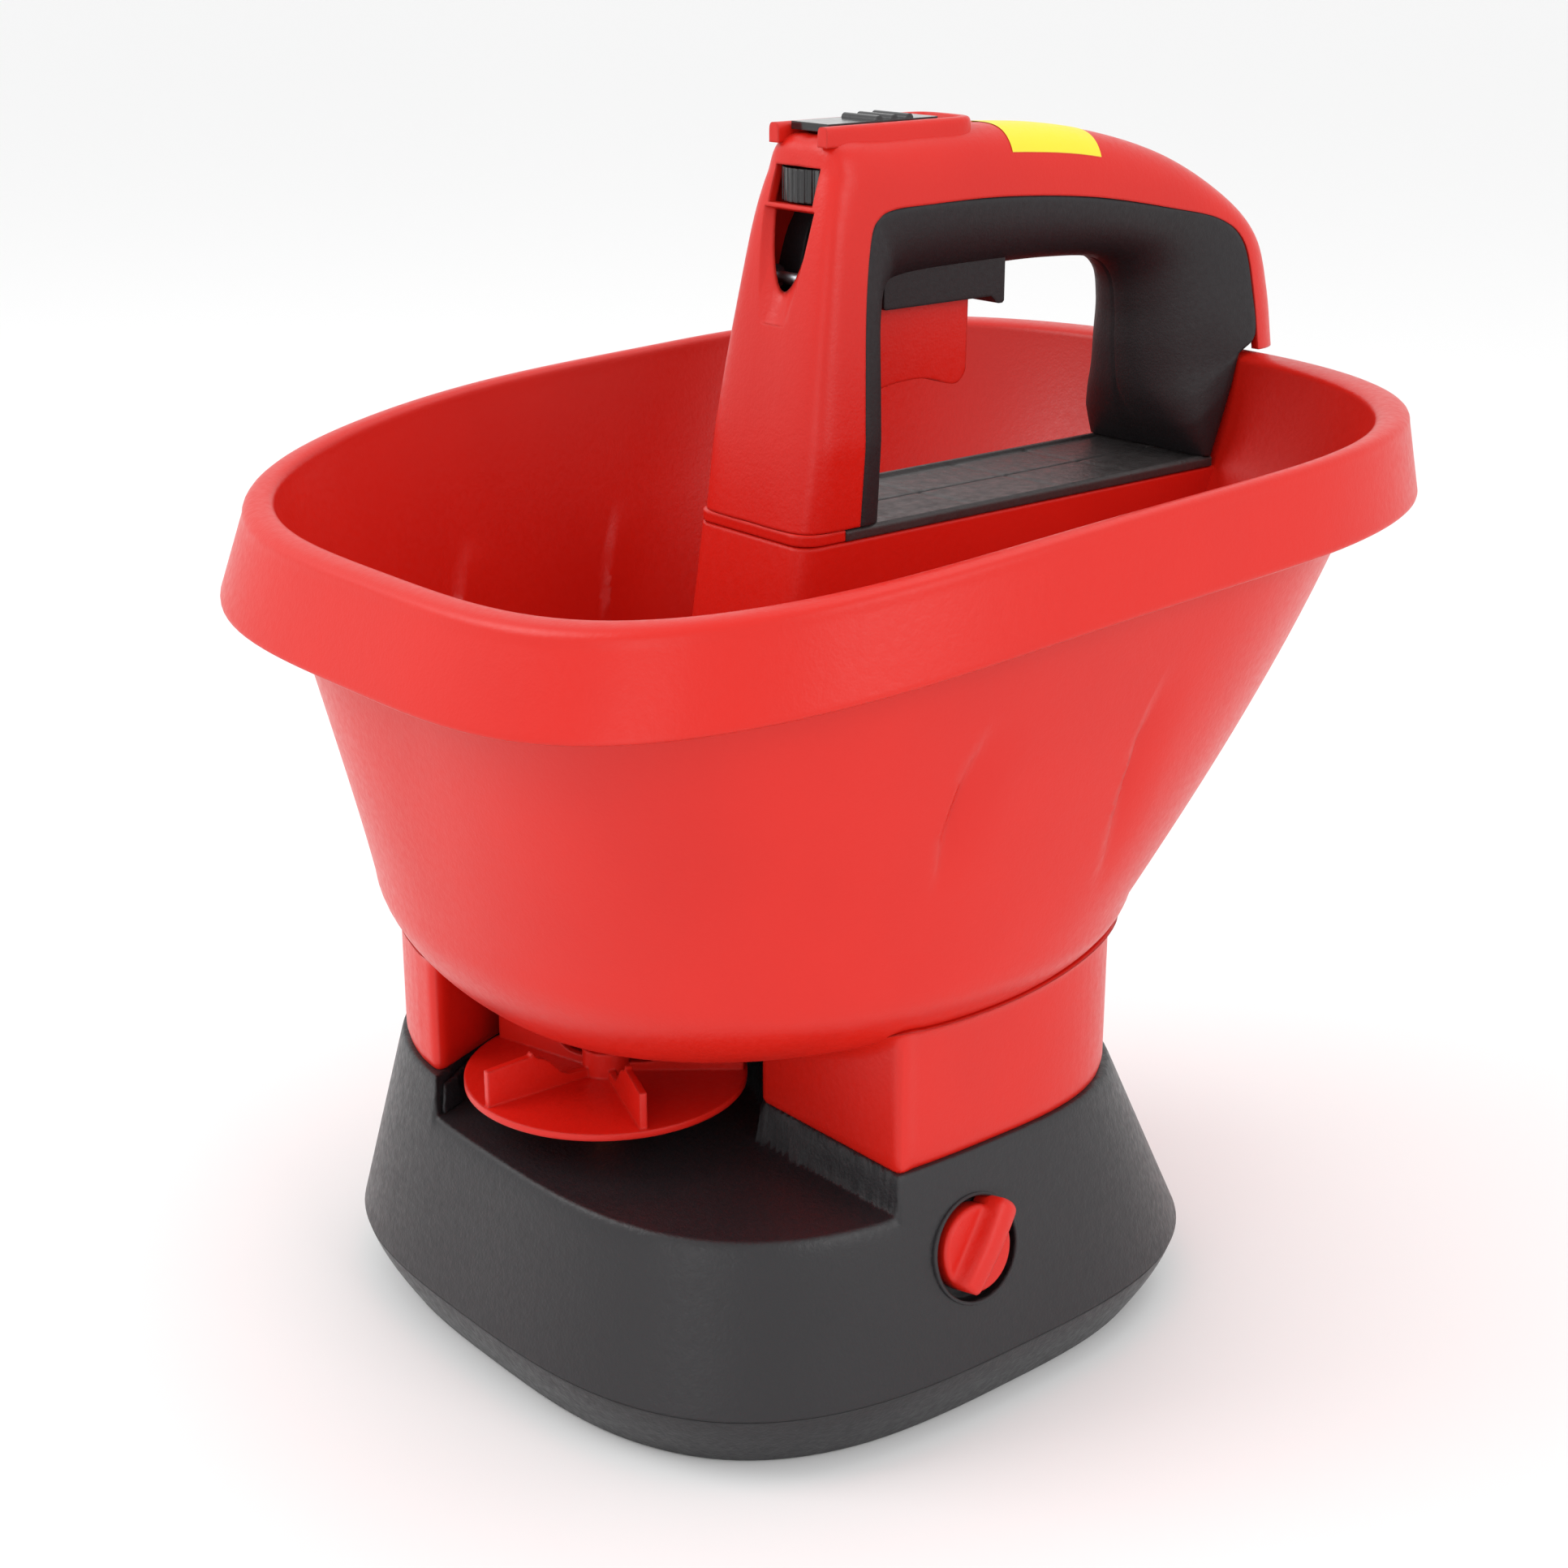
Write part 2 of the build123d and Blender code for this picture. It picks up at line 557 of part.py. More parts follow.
def island():
    """Hollow ridge inside the bowl that carries the handle, with bosses for the crank's pin."""
    ridge = plate_x(ISLAND_OUTER, -ISLAND_HALF, ISLAND_HALF)
    ridge -= plate_x(ISLAND_INNER, -ISLAND_HALF + WALL, ISLAND_HALF - WALL)
    ridge &= bowl_volume(BURY, BURY)
    y, z = CRANK_PIVOT
    for side in (-1, 1):
        ridge += rod((side * 9, y, z), (side * 20.5, y, z), 4.5)
    ridge -= rod((-30, y, z), (30, y, z), PIN_R)
    return ridge - block(-8, 8, 0, 18, 195, 210)


def hopper():
    rear_boss = block(-17, 17, 150, 172, 205, 240) - stack(WALL_RINGS, BURY)
    y, z = FOOT_SCREW
    rear_boss -= foot_screw_hole() + rod((0, y, 200), (0, y, z - 10.5), 2.5)
    shell = bowl() + skirt() + (rear_boss & stack(SKIRT_RINGS, SKIRT_WALL / 2))
    shell &= rim_block(0)
    return shell + [neck(), island()]


def hopper_screws():
    return [screw((x, y, BASE_TOP - WALL - 2.4), (x, y, 82), 2.0, 3.7, 2.4) for x, y in HOPPER_SCREW_PLACES]


def shutter_guide():
    """Rails under the hopper floor that carry the shutter, with the outlet between them."""
    guide = block(-20, 20, -50, 8, 84.2, 87.9)
    guide -= block(-15.3, 15.3, -60, 20, SHUTTER_LOW - 0.2, 90)
    guide -= block(-11, 11, -43, -30, 80, 90)
    guide -= block(-13, 13, -28, 20, 80, 90)
    return guide - rod((0, DISC_Y, 80), (0, DISC_Y, 95), 7.5)


def shutter():
    plate = block(-15, 15, -46, 18, SHUTTER_LOW, SHUTTER_HIGH)
    plate -= rod((0, DISC_Y, 80), (0, DISC_Y, 95), 9.0)
    y = CRANK_PIVOT[0]
    for side in (-1, 1):
        plate += block(side * 5 - 1, side * 5 + 1, y - 4, y + 4, SHUTTER_LOW, 95)
    return plate - block(-7.2, 7.2, y - PIN_R - 0.4, y + PIN_R + 0.4, 84, 93)


def crank():
    """Bell crank: short arm to the rod, long arm to the shutter."""
    y, z = CRANK_PIVOT
    body = rod((-3.4, y, z), (3.4, y, z), 5.0)
    end = z - CRANK_OUT
    body += plate_x(((y - 2.5, z), (y + 2.5, z), (y + 2.2, end), (y - 2.2, end)), -3.0, 3.0)
    body += plate_x(((y, z - 2.4), (y, z + 2.4), (ROD_Y, z + 1.8), (ROD_Y, z - 1.8)), -2.5, 2.5)
    body += rod((-2.5, ROD_Y, z), (2.5, ROD_Y, z), 1.8)
    body += rod((-6.6, y, end), (6.6, y, end), PIN_R)
    body -= rod((-9, y, z), (9, y, z), PIN_R + RUN)
    body -= block(-0.9, 0.9, ROD_Y - 4, ROD_Y + 4.2, z - 9, z + 9)
    return body + rod((-2.5, ROD_Y, z), (2.5, ROD_Y, z), 0.9)


def crank_pin():
    y, z = CRANK_PIVOT
    return rod((-24, y, z), (24, y, z), PIN_R - 0.01)


def pull_rod():
    """Flat rod in the tower, with a slotted eye at each end."""
    low, high = CRANK_PIVOT[1], TRIGGER_PIVOT[1]
    bar = block(-0.75, 0.75, ROD_Y - 2.6, ROD_Y + 2.4, low - 4, high + 4)
    bar -= block(-1, 1, ROD_Y - 1.6, ROD_Y + 1.6, low - 1.0, low + 1.0)
    return bar - block(-1, 1, ROD_Y - 1.9, ROD_Y + 1.9, high - 1.6, high + 1.6)


# ---- handle ----
def handle_cavity():
    """Room inside the red halves: tower, spine and rear column."""
    tower = plate_x(((-3.4, 200), (3.2, 251), (9.2, 280), (13, 283), (15, 275), (11.3, 206)), -14, 14)
    tower += plate_x(((13, 281), (14.5, 296), (60, 298), (98, 295.6), (127, 288), (127, 279), (98, 284),
                      (66, 286.5), (26, 286.5)), -9, 9)
    tower += plate_x(((162, 238), (160, 258), (163, 262), (168, 261), (173.5, 248), (174.5, 238)), -10, 10)
    return tower


def screw_bosses():
    bosses = [rod((-12, y, z), (12, y, z), 3.6) for y, z in HANDLE_SCREWS]
    return bosses[0] + bosses[1:]


def handle_red():
    """Both red halves as one volume, before the split."""
    body = handle_block()
    body = soft_edges(body)
    body -= plate_x(GRIP_PROFILE, -40, 40, GRIP_RADII)
    hollow = handle_cavity() - screw_bosses()
    body -= hollow
    body += slide_collar()
    body -= slide_track()
    body -= wheel_pocket()
    body -= block(-3.4, 3.4, 5.2, 20, 238, 262)
    body -= block(-TRIGGER_HALF - 0.6, TRIGGER_HALF + 0.6, 12.5, 20, 242, 258)
    for y, z in HANDLE_SCREWS:
        body -= rod((-30, y, z), (-9, y, z), 3.2)
        body -= rod((-30, y, z), (9, y, z), 1.55)
    y, z = FOOT_SCREW
    body -= rod((0, y, 230), (0, y, 245), 1.55)
    return body


def soft_edges(body):
    """Round the long outer edges of the handle."""
    ridge = [e for e in body.edges() if abs(e.center().X) > 5 and e.center().Z > PLATFORM_TOP + 1
             and not (e.center().Y > 146 and e.center().Z < 240)]
    for radius in (6.0, 4.5, 3.0):
        try:
            return fillet(ridge, radius)
        except Exception:
            continue
    return body


def slide_collar():
    collar = block(-11, 11, 9.8, 60, 296, 303.4) - block(-12, 12, 5, 13, 300.6, 310)
    return fillet(collar.edges().filter_by(Axis.Y).sort_by(Axis.Z)[-2:], 2.0)


def slide_track():
    return block(-7.3, 7.3, 5, 57.3, 301.6, 310) + block(-3, 3, 16, 52, 285, 303)


def wheel_pocket():
    y, z = WHEEL_CENTRE
    pocket = rod((0, y, z - WHEEL_H / 2 - 0.5), (0, y, z + WHEEL_H / 2 + 0.5), WHEEL_R + 0.6)
    pocket += block(-8.3, 8.3, 0, y, z - WHEEL_H / 2 - 0.5, z + WHEEL_H / 2 + 0.5)
    pocket += rod((0, y, z - 6.6), (0, y, z + 7), 2.1)
    scallop = Pos(0, -6.5, 272) * Rot(-12, 0, 0) * Cylinder(11.5, 26)
    return pocket + (scallop & block(-8, 8, -5, 8.6, 262, 286))


def half(shape, side):
    x0, x1 = (GAP, 60) if side > 0 else (-60, -GAP)
    return shape & block(x0, x1, -60, 260, 150, 340)


def grip_black():
    """Soft black insert all round the finger opening, both halves, before the split."""
    body = handle_block() & plate_x(GRIP_PROFILE, -40, 40, GRIP_RADII)
    body = soft_edges_insert(body)
    body -= plate_x(OPENING, -40, 40, OPENING_RADII)
    body -= block(-TRIGGER_HALF - 0.6, TRIGGER_HALF + 0.6, 5, 66, 229, 279)
    body -= block(-9.02, 9.02, 30.9, 73.02, 250, 263.42) + block(-3.02, 3.02, 65, 90.02, 268.98, 279.02)
    y, z = TRIGGER_PIVOT
    body -= rod((-12, y, z), (12, y, z), PIN_R)
    return body


def soft_edges_insert(body):
    ridge = [e for e in body.edges() if abs(e.center().X) > 5 and e.center().Z > 262 and e.length > 8]
    for radius in (2.0, 1.0):
        try:
            return fillet(ridge, radius)
        except Exception:
            continue
    return body


def platform():
    """Black shelf over the hopper's island, with a raised rim strip on each side."""
    shelf = block(-HANDLE_HALF_LOW, HANDLE_HALF_LOW, 7.5, 143.6, PLATFORM_BOTTOM, PLATFORM_TOP - 0.05)
    shelf -= block(-19.5, 19.5, 26, 141, PLATFORM_TOP - 0.9, PLATFORM_TOP + 1)
    shelf -= block(-8, 8, 0, 18.3, 200, 210)
    return shelf


def tower_foot():
    """Red collar in front of the shelf, closing the tower onto the island."""
    foot = block(-HANDLE_HALF_LOW, HANDLE_HALF_LOW, -6, 7.4, PLATFORM_BOTTOM, PLATFORM_TOP - 0.05)
    return foot - block(-14, 14, -3.4, 9, 200, 210)


def trigger():
    """Paddle hinged in the tower, its finger edge hollowed, with a short arm forward to the rod."""
    y, z = TRIGGER_PIVOT
    top = ((y - 3, z + 5), (34, 262.5), (63, 262.5))
    low = Spline((62.6, 239), (59.5, 235.6), (52, 237.2), (41, 238.2), (31, 236.6))
    rest = Polyline((31, 236.6), (y - 3, 243), *top, (62.6, 239))
    body = extrude(Plane.YZ.offset(-TRIGGER_HALF) * make_face([low, *rest.edges()]), 2 * TRIGGER_HALF)
    body -= block(-4, 4, 36, 58, 243, 270)
    body += rod((-TRIGGER_HALF, y, z), (TRIGGER_HALF, y, z), 5.5)
    body -= block(-1.3, 1.3, 0, y - 5.6, 230, 270)
    arm = plate_x(((y - 3, z + 2.5), (y - 3, z - 2.5), (ROD_Y, z - 1.6), (ROD_Y, z + 1.6)), -3.0, 3.0)
    arm += rod((-3, ROD_Y, z), (3, ROD_Y, z), 1.6)
    body += arm - block(-1.3, 1.3, 0, y - 5.6, 230, 270)
    body += rod((-3, ROD_Y, z), (3, ROD_Y, z), 1.2)
    return body - rod((-9, y, z), (9, y, z), PIN_R + RUN)


def trigger_pin():
    y, z = TRIGGER_PIVOT
    return rod((-11.5, y, z), (11.5, y, z), PIN_R - 0.01)


def trigger_spring():
    """Compression spring between the trigger's pocket floor and the roof of the slot."""
    wire, turns, radius = 0.45, 6, 2.9
    low, high = SPRING_LOW + wire, SPRING_HIGH - wire
    coil = Pos(0, SPRING_Y, low) * Helix(pitch=(high - low) / turns, height=high - low, radius=radius)
    start = coil.edges()[0]
    section = Plane(origin=start @ 0, z_dir=start % 0) * Circle(wire)
    return sweep(section, path=Wire(coil.edges()))


def trigger_bezel():
    """Frame round the trigger under the grip, with a hooked lip behind it."""
    frame = block(-9, 9, 31, 73, 257.5, 263.4)
    frame -= block(-TRIGGER_HALF - 0.6, TRIGGER_HALF + 0.6, 20, 65.5, 250, 270)
    frame += block(-9, 9, 66.5, 73, 255.4, 258)
    return frame - block(-5, 5, 68.5, 80, 259, 262)


def microswitch():
    return block(-3, 3, 70, 90, 269, 279) + block(-1, 1, 68.4, 70, 272, 274)


def top_slide():
    """Ribbed lock slide with a tongue at the front and a keeper under the track."""
    y0 = 14.0
    plate = block(-6.9, 6.9, y0, y0 + 36, 301.7, 303.6)
    for k in range(3):
        plate += rod((-6.4, y0 + 17 + 5 * k, 303.5), (6.4, y0 + 17 + 5 * k, 303.5), 1.25)
    plate += block(-2.6, 2.6, y0 + 12, y0 + 28, 299.4, 302)
    return plate


def dose_wheel():
    y, z = WHEEL_CENTRE
    wheel = rod((0, y, z - WHEEL_H / 2), (0, y, z + WHEEL_H / 2), WHEEL_R)
    for k in range(36):
        a = math.radians(10 * k)
        x, yy = WHEEL_R * math.cos(a), y + WHEEL_R * math.sin(a)
        wheel -= rod((x, yy, z - WHEEL_H), (x, yy, z + WHEEL_H), 0.45)
    wheel += rod((0, y, z - 6.4), (0, y, z + 6.5), 2.0)
    return wheel


def handle_screws():
    return [screw((-11.0, y, z), (7.0, y, z), 1.5, 3.0, 2.0) for y, z in HANDLE_SCREWS]


def foot_screw():
    y, z = FOOT_SCREW
    return screw((0, y, z - 12.5), (0, y, 244), 1.5, 2.2, 2.0)


def label():
    """Blank yellow sticker on the spine."""
    top = [(70, 301.0), (80, 300.6), (90, 300.0), (102, 298.9)]
    strip = plate_x([*top, *[(y, z + 0.3) for y, z in reversed(top)]], -3.5, 7.5)
    return strip


def write_all():
    carrier, blades = battery_contacts()
    knob_face, knob_shaft = knob_parts()
    red, black = handle_red(), grip_black()
    save("base_tray", base_tray())
    save("rubber_feet", *feet())
    save("base_screws", *base_screws())
    save("base_shell", base_shell())
    save("spindle_bushes", *spindle_bushes())
    save("battery_bay", battery_bay())
    save("contact_carrier", carrier)
    save("contact_blades", *blades)
    save("battery_pack", battery_pack())
    save("release_button", release_button())
    save("spinner_gear", spinner_gear())
    save("motor_pinion", pinion())
    save("motor_shaft", motor_shaft())
    save("motor", motor())
    save("gear_plate", gear_plate())
    save("plate_screws", *plate_screws())
    save("spindle", spindle())
    save("spreading_disc", disc())
    save("agitator", agitator())
    save("control_board", control_board())
    save("width_knob", knob_face)
    save("knob_shaft", knob_shaft)
    save("potentiometer", potentiometer())
    save("hopper", hopper())
    save("hopper_screws", *hopper_screws())
    save("shutter_guide", shutter_guide())
    save("shutter", shutter())
    save("crank", crank())
    save("crank_pin", crank_pin())
    save("pull_rod", pull_rod())
    save("handle_right", half(red, 1))
    save("handle_left", half(red, -1))
    save("grip_right", half(black, 1))
    save("grip_left", half(black, -1))
    save("platform", platform())
    save("tower_foot", tower_foot())
    save("trigger", trigger())
    save("trigger_pin", trigger_pin())
    save("trigger_spring", trigger_spring())
    save("trigger_bezel", trigger_bezel())
    save("microswitch", microswitch())
    save("top_slide", top_slide())
    save("dose_wheel", dose_wheel())
    save("handle_screws", *handle_screws())
    save("foot_screw", foot_screw())
    save("label", label())


write_all()
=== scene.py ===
"""Garden spreader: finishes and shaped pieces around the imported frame, then floor, lights and camera."""
import bpy
import bmesh
import json
import math
import numpy as np
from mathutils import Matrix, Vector


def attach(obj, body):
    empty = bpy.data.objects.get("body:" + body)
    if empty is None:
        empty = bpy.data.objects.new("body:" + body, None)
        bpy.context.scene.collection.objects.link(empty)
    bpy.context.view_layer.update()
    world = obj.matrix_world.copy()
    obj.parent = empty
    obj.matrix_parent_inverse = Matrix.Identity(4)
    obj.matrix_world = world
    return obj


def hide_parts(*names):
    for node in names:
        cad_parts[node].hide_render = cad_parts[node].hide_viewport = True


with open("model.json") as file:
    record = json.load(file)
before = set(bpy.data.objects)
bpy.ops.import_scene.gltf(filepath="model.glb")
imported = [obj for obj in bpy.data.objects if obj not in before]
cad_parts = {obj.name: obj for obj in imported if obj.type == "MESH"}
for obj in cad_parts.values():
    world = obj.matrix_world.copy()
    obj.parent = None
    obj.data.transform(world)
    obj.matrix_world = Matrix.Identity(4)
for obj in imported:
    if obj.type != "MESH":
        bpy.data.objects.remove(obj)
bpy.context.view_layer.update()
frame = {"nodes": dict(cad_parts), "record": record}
MM = 0.001

# ---- measures shared with the frame, in millimetres ----
WALL = 2.5
CREASE = (119.0, 98.0, -99.0, 88.0, -5.0, 2.2, 2.2)      # height, half width, front, rear, widest y, two powers
WALL_RINGS = np.array([CREASE,
                       (160.0, 104.4, -105.3, 123.1, 20.0, 2.7, 2.3),
                       (205.0, 111.3, -112.2, 148.5, 44.0, 3.3, 2.4),
                       (246.0, 117.4, -118.2, 159.5, 62.0, 3.6, 2.4)])
SKIRT_RINGS = np.array([(185.0, 125.4, -126.2, 177.0, 50.0, 3.4, 2.5),
                        (246.0, 113.9, -104.6, 163.0, 60.0, 3.5, 2.5)])
FLOOR = (88.0, 40.0, -68.0, 35.0, -10.0, 2.1, 2.1)
BELLY_POWER = 1.7
RIM_POINTS = np.array([(-150, 203), (-111, 213), (-60, 221.5), (-10, 227), (48, 230.2), (100, 232.6), (155, 234),
                       (200, 234.6)])
SKIRT_DROP = 21.8
SKIRT_WALL = 2.2
SKIN_GAP = 0.15                                          # skirt drawn in from the frame's surface
NECK = (87.4, -86.7, 71.5, 3.0)                          # half width, front, rear, power
BASE_TOP = 68.0
BASE_HALF, BASE_DEPTH, BASE_POWER = 100.0, 99.4, 3.0
TRAY_TOP = 16.4                                          # parting line between housing and tray
SIDE_DRAFT, REAR_DRAFT = 0.226, 0.5                      # how far the housing leans in per millimetre of height
NOTCH_FLOOR = 58.0
DISC_Y = -53.7
NOTCH_R = 42.0
NOTCH_WALL_Y = -31.0
ISLAND_TOP = 204.3
ISLAND_HALF = 22.0
SHELF_HALF, SHELF_LOW, SHELF_TOP = 21.95, 204.55, 207.44
CREASE_ANGLE = 35.0                                      # faces meeting more sharply than this stay sharp


# ---- node groups shared by the finishes ----
def new_group(name, inputs, outputs):
    """Empty shader group with named sockets: (kind, name, default) each."""
    group = bpy.data.node_groups.new(name, "ShaderNodeTree")
    for kind, label, default in inputs:
        socket = group.interface.new_socket(label, in_out="INPUT", socket_type=kind)
        socket.default_value = default
    for kind, label in outputs:
        group.interface.new_socket(label, in_out="OUTPUT", socket_type=kind)
    return group, group.nodes.new("NodeGroupInput"), group.nodes.new("NodeGroupOutput")


def moulded_grain():
    """Fine spark-eroded texture: a fine and a coarser noise added as a height, the coarser one as a mask."""
    group, given, out = new_group("moulded_grain", [("NodeSocketFloat", "Scale", 1500.0)],
                                  [("NodeSocketFloat", "Height"), ("NodeSocketFloat", "Mask")])
    nodes, links = group.nodes, group.links
    where = nodes.new("ShaderNodeTexCoord")
    fine = nodes.new("ShaderNodeTexNoise")
    fine.inputs["Detail"].default_value = 2.0
    links.new(where.outputs["Object"], fine.inputs["Vector"])
    links.new(given.outputs["Scale"], fine.inputs["Scale"])
    third = nodes.new("ShaderNodeMath")
    third.operation = "MULTIPLY"
    third.inputs[1].default_value = 0.37
    links.new(given.outputs["Scale"], third.inputs[0])
    coarse = nodes.new("ShaderNodeTexNoise")
    coarse.inputs["Detail"].default_value = 1.0
    links.new(where.outputs["Object"], coarse.inputs["Vector"])
    links.new(third.outputs[0], coarse.inputs["Scale"])
    both = nodes.new("ShaderNodeMath")
    both.operation = "ADD"
    links.new(fine.outputs["Fac"], both.inputs[0])
    links.new(coarse.outputs["Fac"], both.inputs[1])
    links.new(both.outputs[0], out.inputs["Height"])
    links.new(coarse.outputs["Fac"], out.inputs["Mask"])
    return group


def colour_drift():
    """Slow change of colour, as pigment and handling leave it: a broad noise mixes two tones."""
    group, given, out = new_group("colour_drift",
                                  [("NodeSocketColor", "Tone", (0.5, 0.5, 0.5, 1)),
                                   ("NodeSocketColor", "Other tone", (0.4, 0.4, 0.4, 1)),
                                   ("NodeSocketFloat", "Scale", 14.0), ("NodeSocketFloat", "Share", 0.5)],
                                  [("NodeSocketColor", "Colour")])
    nodes, links = group.nodes, group.links
    where = nodes.new("ShaderNodeTexCoord")
    broad = nodes.new("ShaderNodeTexNoise")
    broad.inputs["Detail"].default_value = 3.0
    links.new(where.outputs["Object"], broad.inputs["Vector"])
    links.new(given.outputs["Scale"], broad.inputs["Scale"])
    spread = nodes.new("ShaderNodeMapRange")
    spread.inputs["From Min"].default_value = 0.36
    spread.inputs["From Max"].default_value = 0.66
    links.new(broad.outputs["Fac"], spread.inputs["Value"])
    share = nodes.new("ShaderNodeMath")
    share.operation = "MULTIPLY"
    links.new(spread.outputs[0], share.inputs[0])
    links.new(given.outputs["Share"], share.inputs[1])
    mix = nodes.new("ShaderNodeMix")
    mix.data_type = "RGBA"
    links.new(share.outputs[0], mix.inputs["Factor"])
    links.new(given.outputs["Tone"], mix.inputs["A"])
    links.new(given.outputs["Other tone"], mix.inputs["B"])
    links.new(mix.outputs["Result"], out.inputs["Colour"])
    return group


def worn_edges():
    """Where the softened normal turns away from the true one there is an edge: a mask, broken up by noise."""
    group, given, out = new_group("worn_edges",
                                  [("NodeSocketFloat", "Radius", 0.0012), ("NodeSocketFloat", "Amount", 1.0)],
                                  [("NodeSocketFloat", "Mask"), ("NodeSocketVector", "Rounded")])
    nodes, links = group.nodes, group.links
    soft = nodes.new("ShaderNodeBevel")
    soft.samples = 4
    links.new(given.outputs["Radius"], soft.inputs["Radius"])
    true = nodes.new("ShaderNodeNewGeometry")
    dot = nodes.new("ShaderNodeVectorMath")
    dot.operation = "DOT_PRODUCT"
    links.new(soft.outputs["Normal"], dot.inputs[0])
    links.new(true.outputs["Normal"], dot.inputs[1])
    edge = nodes.new("ShaderNodeMapRange")
    edge.inputs["From Min"].default_value = 0.995
    edge.inputs["From Max"].default_value = 0.80
    links.new(dot.outputs["Value"], edge.inputs["Value"])
    where = nodes.new("ShaderNodeTexCoord")
    patch = nodes.new("ShaderNodeTexNoise")
    patch.inputs["Scale"].default_value = 120.0
    patch.inputs["Detail"].default_value = 4.0
    links.new(where.outputs["Object"], patch.inputs["Vector"])
    broken = nodes.new("ShaderNodeMath")
    broken.operation = "MULTIPLY"
    links.new(edge.outputs[0], broken.inputs[0])
    links.new(patch.outputs["Fac"], broken.inputs[1])
    scaled = nodes.new("ShaderNodeMath")
    scaled.operation = "MULTIPLY"
    links.new(broken.outputs[0], scaled.inputs[0])
    links.new(given.outputs["Amount"], scaled.inputs[1])
    links.new(scaled.outputs[0], out.inputs["Mask"])
    links.new(soft.outputs["Normal"], out.inputs["Rounded"])
    return group


def brushed_lines():
    """Drawn or turned metal: noise stretched along one axis, as a height."""
    group, given, out = new_group("brushed_lines",
                                  [("NodeSocketVector", "Stretch", (60.0, 60.0, 2400.0))],
                                  [("NodeSocketFloat", "Height")])
    nodes, links = group.nodes, group.links
    where = nodes.new("ShaderNodeTexCoord")
    scaled = nodes.new("ShaderNodeVectorMath")
    scaled.operation = "MULTIPLY"
    links.new(where.outputs["Object"], scaled.inputs[0])
    links.new(given.outputs["Stretch"], scaled.inputs[1])
    lines = nodes.new("ShaderNodeTexNoise")
    lines.inputs["Scale"].default_value = 1.0
    lines.inputs["Detail"].default_value = 2.0
    links.new(scaled.outputs[0], lines.inputs["Vector"])
    links.new(lines.outputs["Fac"], out.inputs["Height"])
    return group


GRAIN, DRIFT, EDGES, BRUSHED = moulded_grain(), colour_drift(), worn_edges(), brushed_lines()


def place_group(material, group, **values):
    """Group node in a material, with its values set by socket name (underscores stand for spaces)."""
    node = material.node_tree.nodes.new("ShaderNodeGroup")
    node.node_tree = group
    for key, value in values.items():
        node.inputs[key.replace("_", " ")].default_value = value
    return node


def plastic(name, tone, other, rough, rough_spread, grain_scale, grain_depth, edge_tone, edge_radius=0.0010,
            edge_amount=0.9, coat=0.0, drift_scale=14.0, drift_share=0.6, specular=0.5):
    """Moulded plastic: drifting colour, lighter rubbed edges, fine grain in the bump and the roughness."""
    material = bpy.data.materials.new(name)
    material.use_nodes = True
    nodes, links = material.node_tree.nodes, material.node_tree.links
    shader = nodes["Principled BSDF"]
    shader.inputs["Specular IOR Level"].default_value = specular
    shader.inputs["Coat Weight"].default_value = coat
    shader.inputs["Coat Roughness"].default_value = 0.12
    drift = place_group(material, DRIFT, Tone=(*tone, 1), Other_tone=(*other, 1), Scale=drift_scale,
                        Share=drift_share)
    edges = place_group(material, EDGES, Radius=edge_radius, Amount=edge_amount)
    grain = place_group(material, GRAIN, Scale=grain_scale)
    mix = nodes.new("ShaderNodeMix")
    mix.data_type = "RGBA"
    mix.inputs["B"].default_value = (*edge_tone, 1)
    links.new(edges.outputs["Mask"], mix.inputs["Factor"])
    links.new(drift.outputs["Colour"], mix.inputs["A"])
    links.new(mix.outputs["Result"], shader.inputs["Base Color"])
    spread = nodes.new("ShaderNodeMapRange")
    spread.inputs["From Min"].default_value = 0.25
    spread.inputs["From Max"].default_value = 0.75
    spread.inputs["To Min"].default_value = rough - rough_spread
    spread.inputs["To Max"].default_value = rough + rough_spread
    links.new(grain.outputs["Mask"], spread.inputs["Value"])
    links.new(spread.outputs[0], shader.inputs["Roughness"])
    bump = nodes.new("ShaderNodeBump")
    bump.inputs["Strength"].default_value = 1.0
    bump.inputs["Distance"].default_value = grain_depth
    links.new(grain.outputs["Height"], bump.inputs["Height"])
    links.new(edges.outputs["Rounded"], bump.inputs["Normal"])
    links.new(bump.outputs["Normal"], shader.inputs["Normal"])
    return material


def metal(name, tone, other, rough, stretch, depth=0.000015):
    """Bright metal: drawn lines in the bump and roughness, with a slow change of tone."""
    material = bpy.data.materials.new(name)
    material.use_nodes = True
    nodes, links = material.node_tree.nodes, material.node_tree.links
    shader = nodes["Principled BSDF"]
    shader.inputs["Metallic"].default_value = 1.0
    drift = place_group(material, DRIFT, Tone=(*tone, 1), Other_tone=(*other, 1), Scale=60.0, Share=0.7)
    lines = place_group(material, BRUSHED, Stretch=stretch)
    links.new(drift.outputs["Colour"], shader.inputs["Base Color"])
    spread = nodes.new("ShaderNodeMapRange")
    spread.inputs["To Min"].default_value = rough - 0.08
    spread.inputs["To Max"].default_value = rough + 0.12
    links.new(lines.outputs["Height"], spread.inputs["Value"])
    links.new(spread.outputs[0], shader.inputs["Roughness"])
    bump = nodes.new("ShaderNodeBump")
    bump.inputs["Distance"].default_value = depth
    links.new(lines.outputs["Height"], bump.inputs["Height"])
    links.new(bump.outputs["Normal"], shader.inputs["Normal"])
    return material


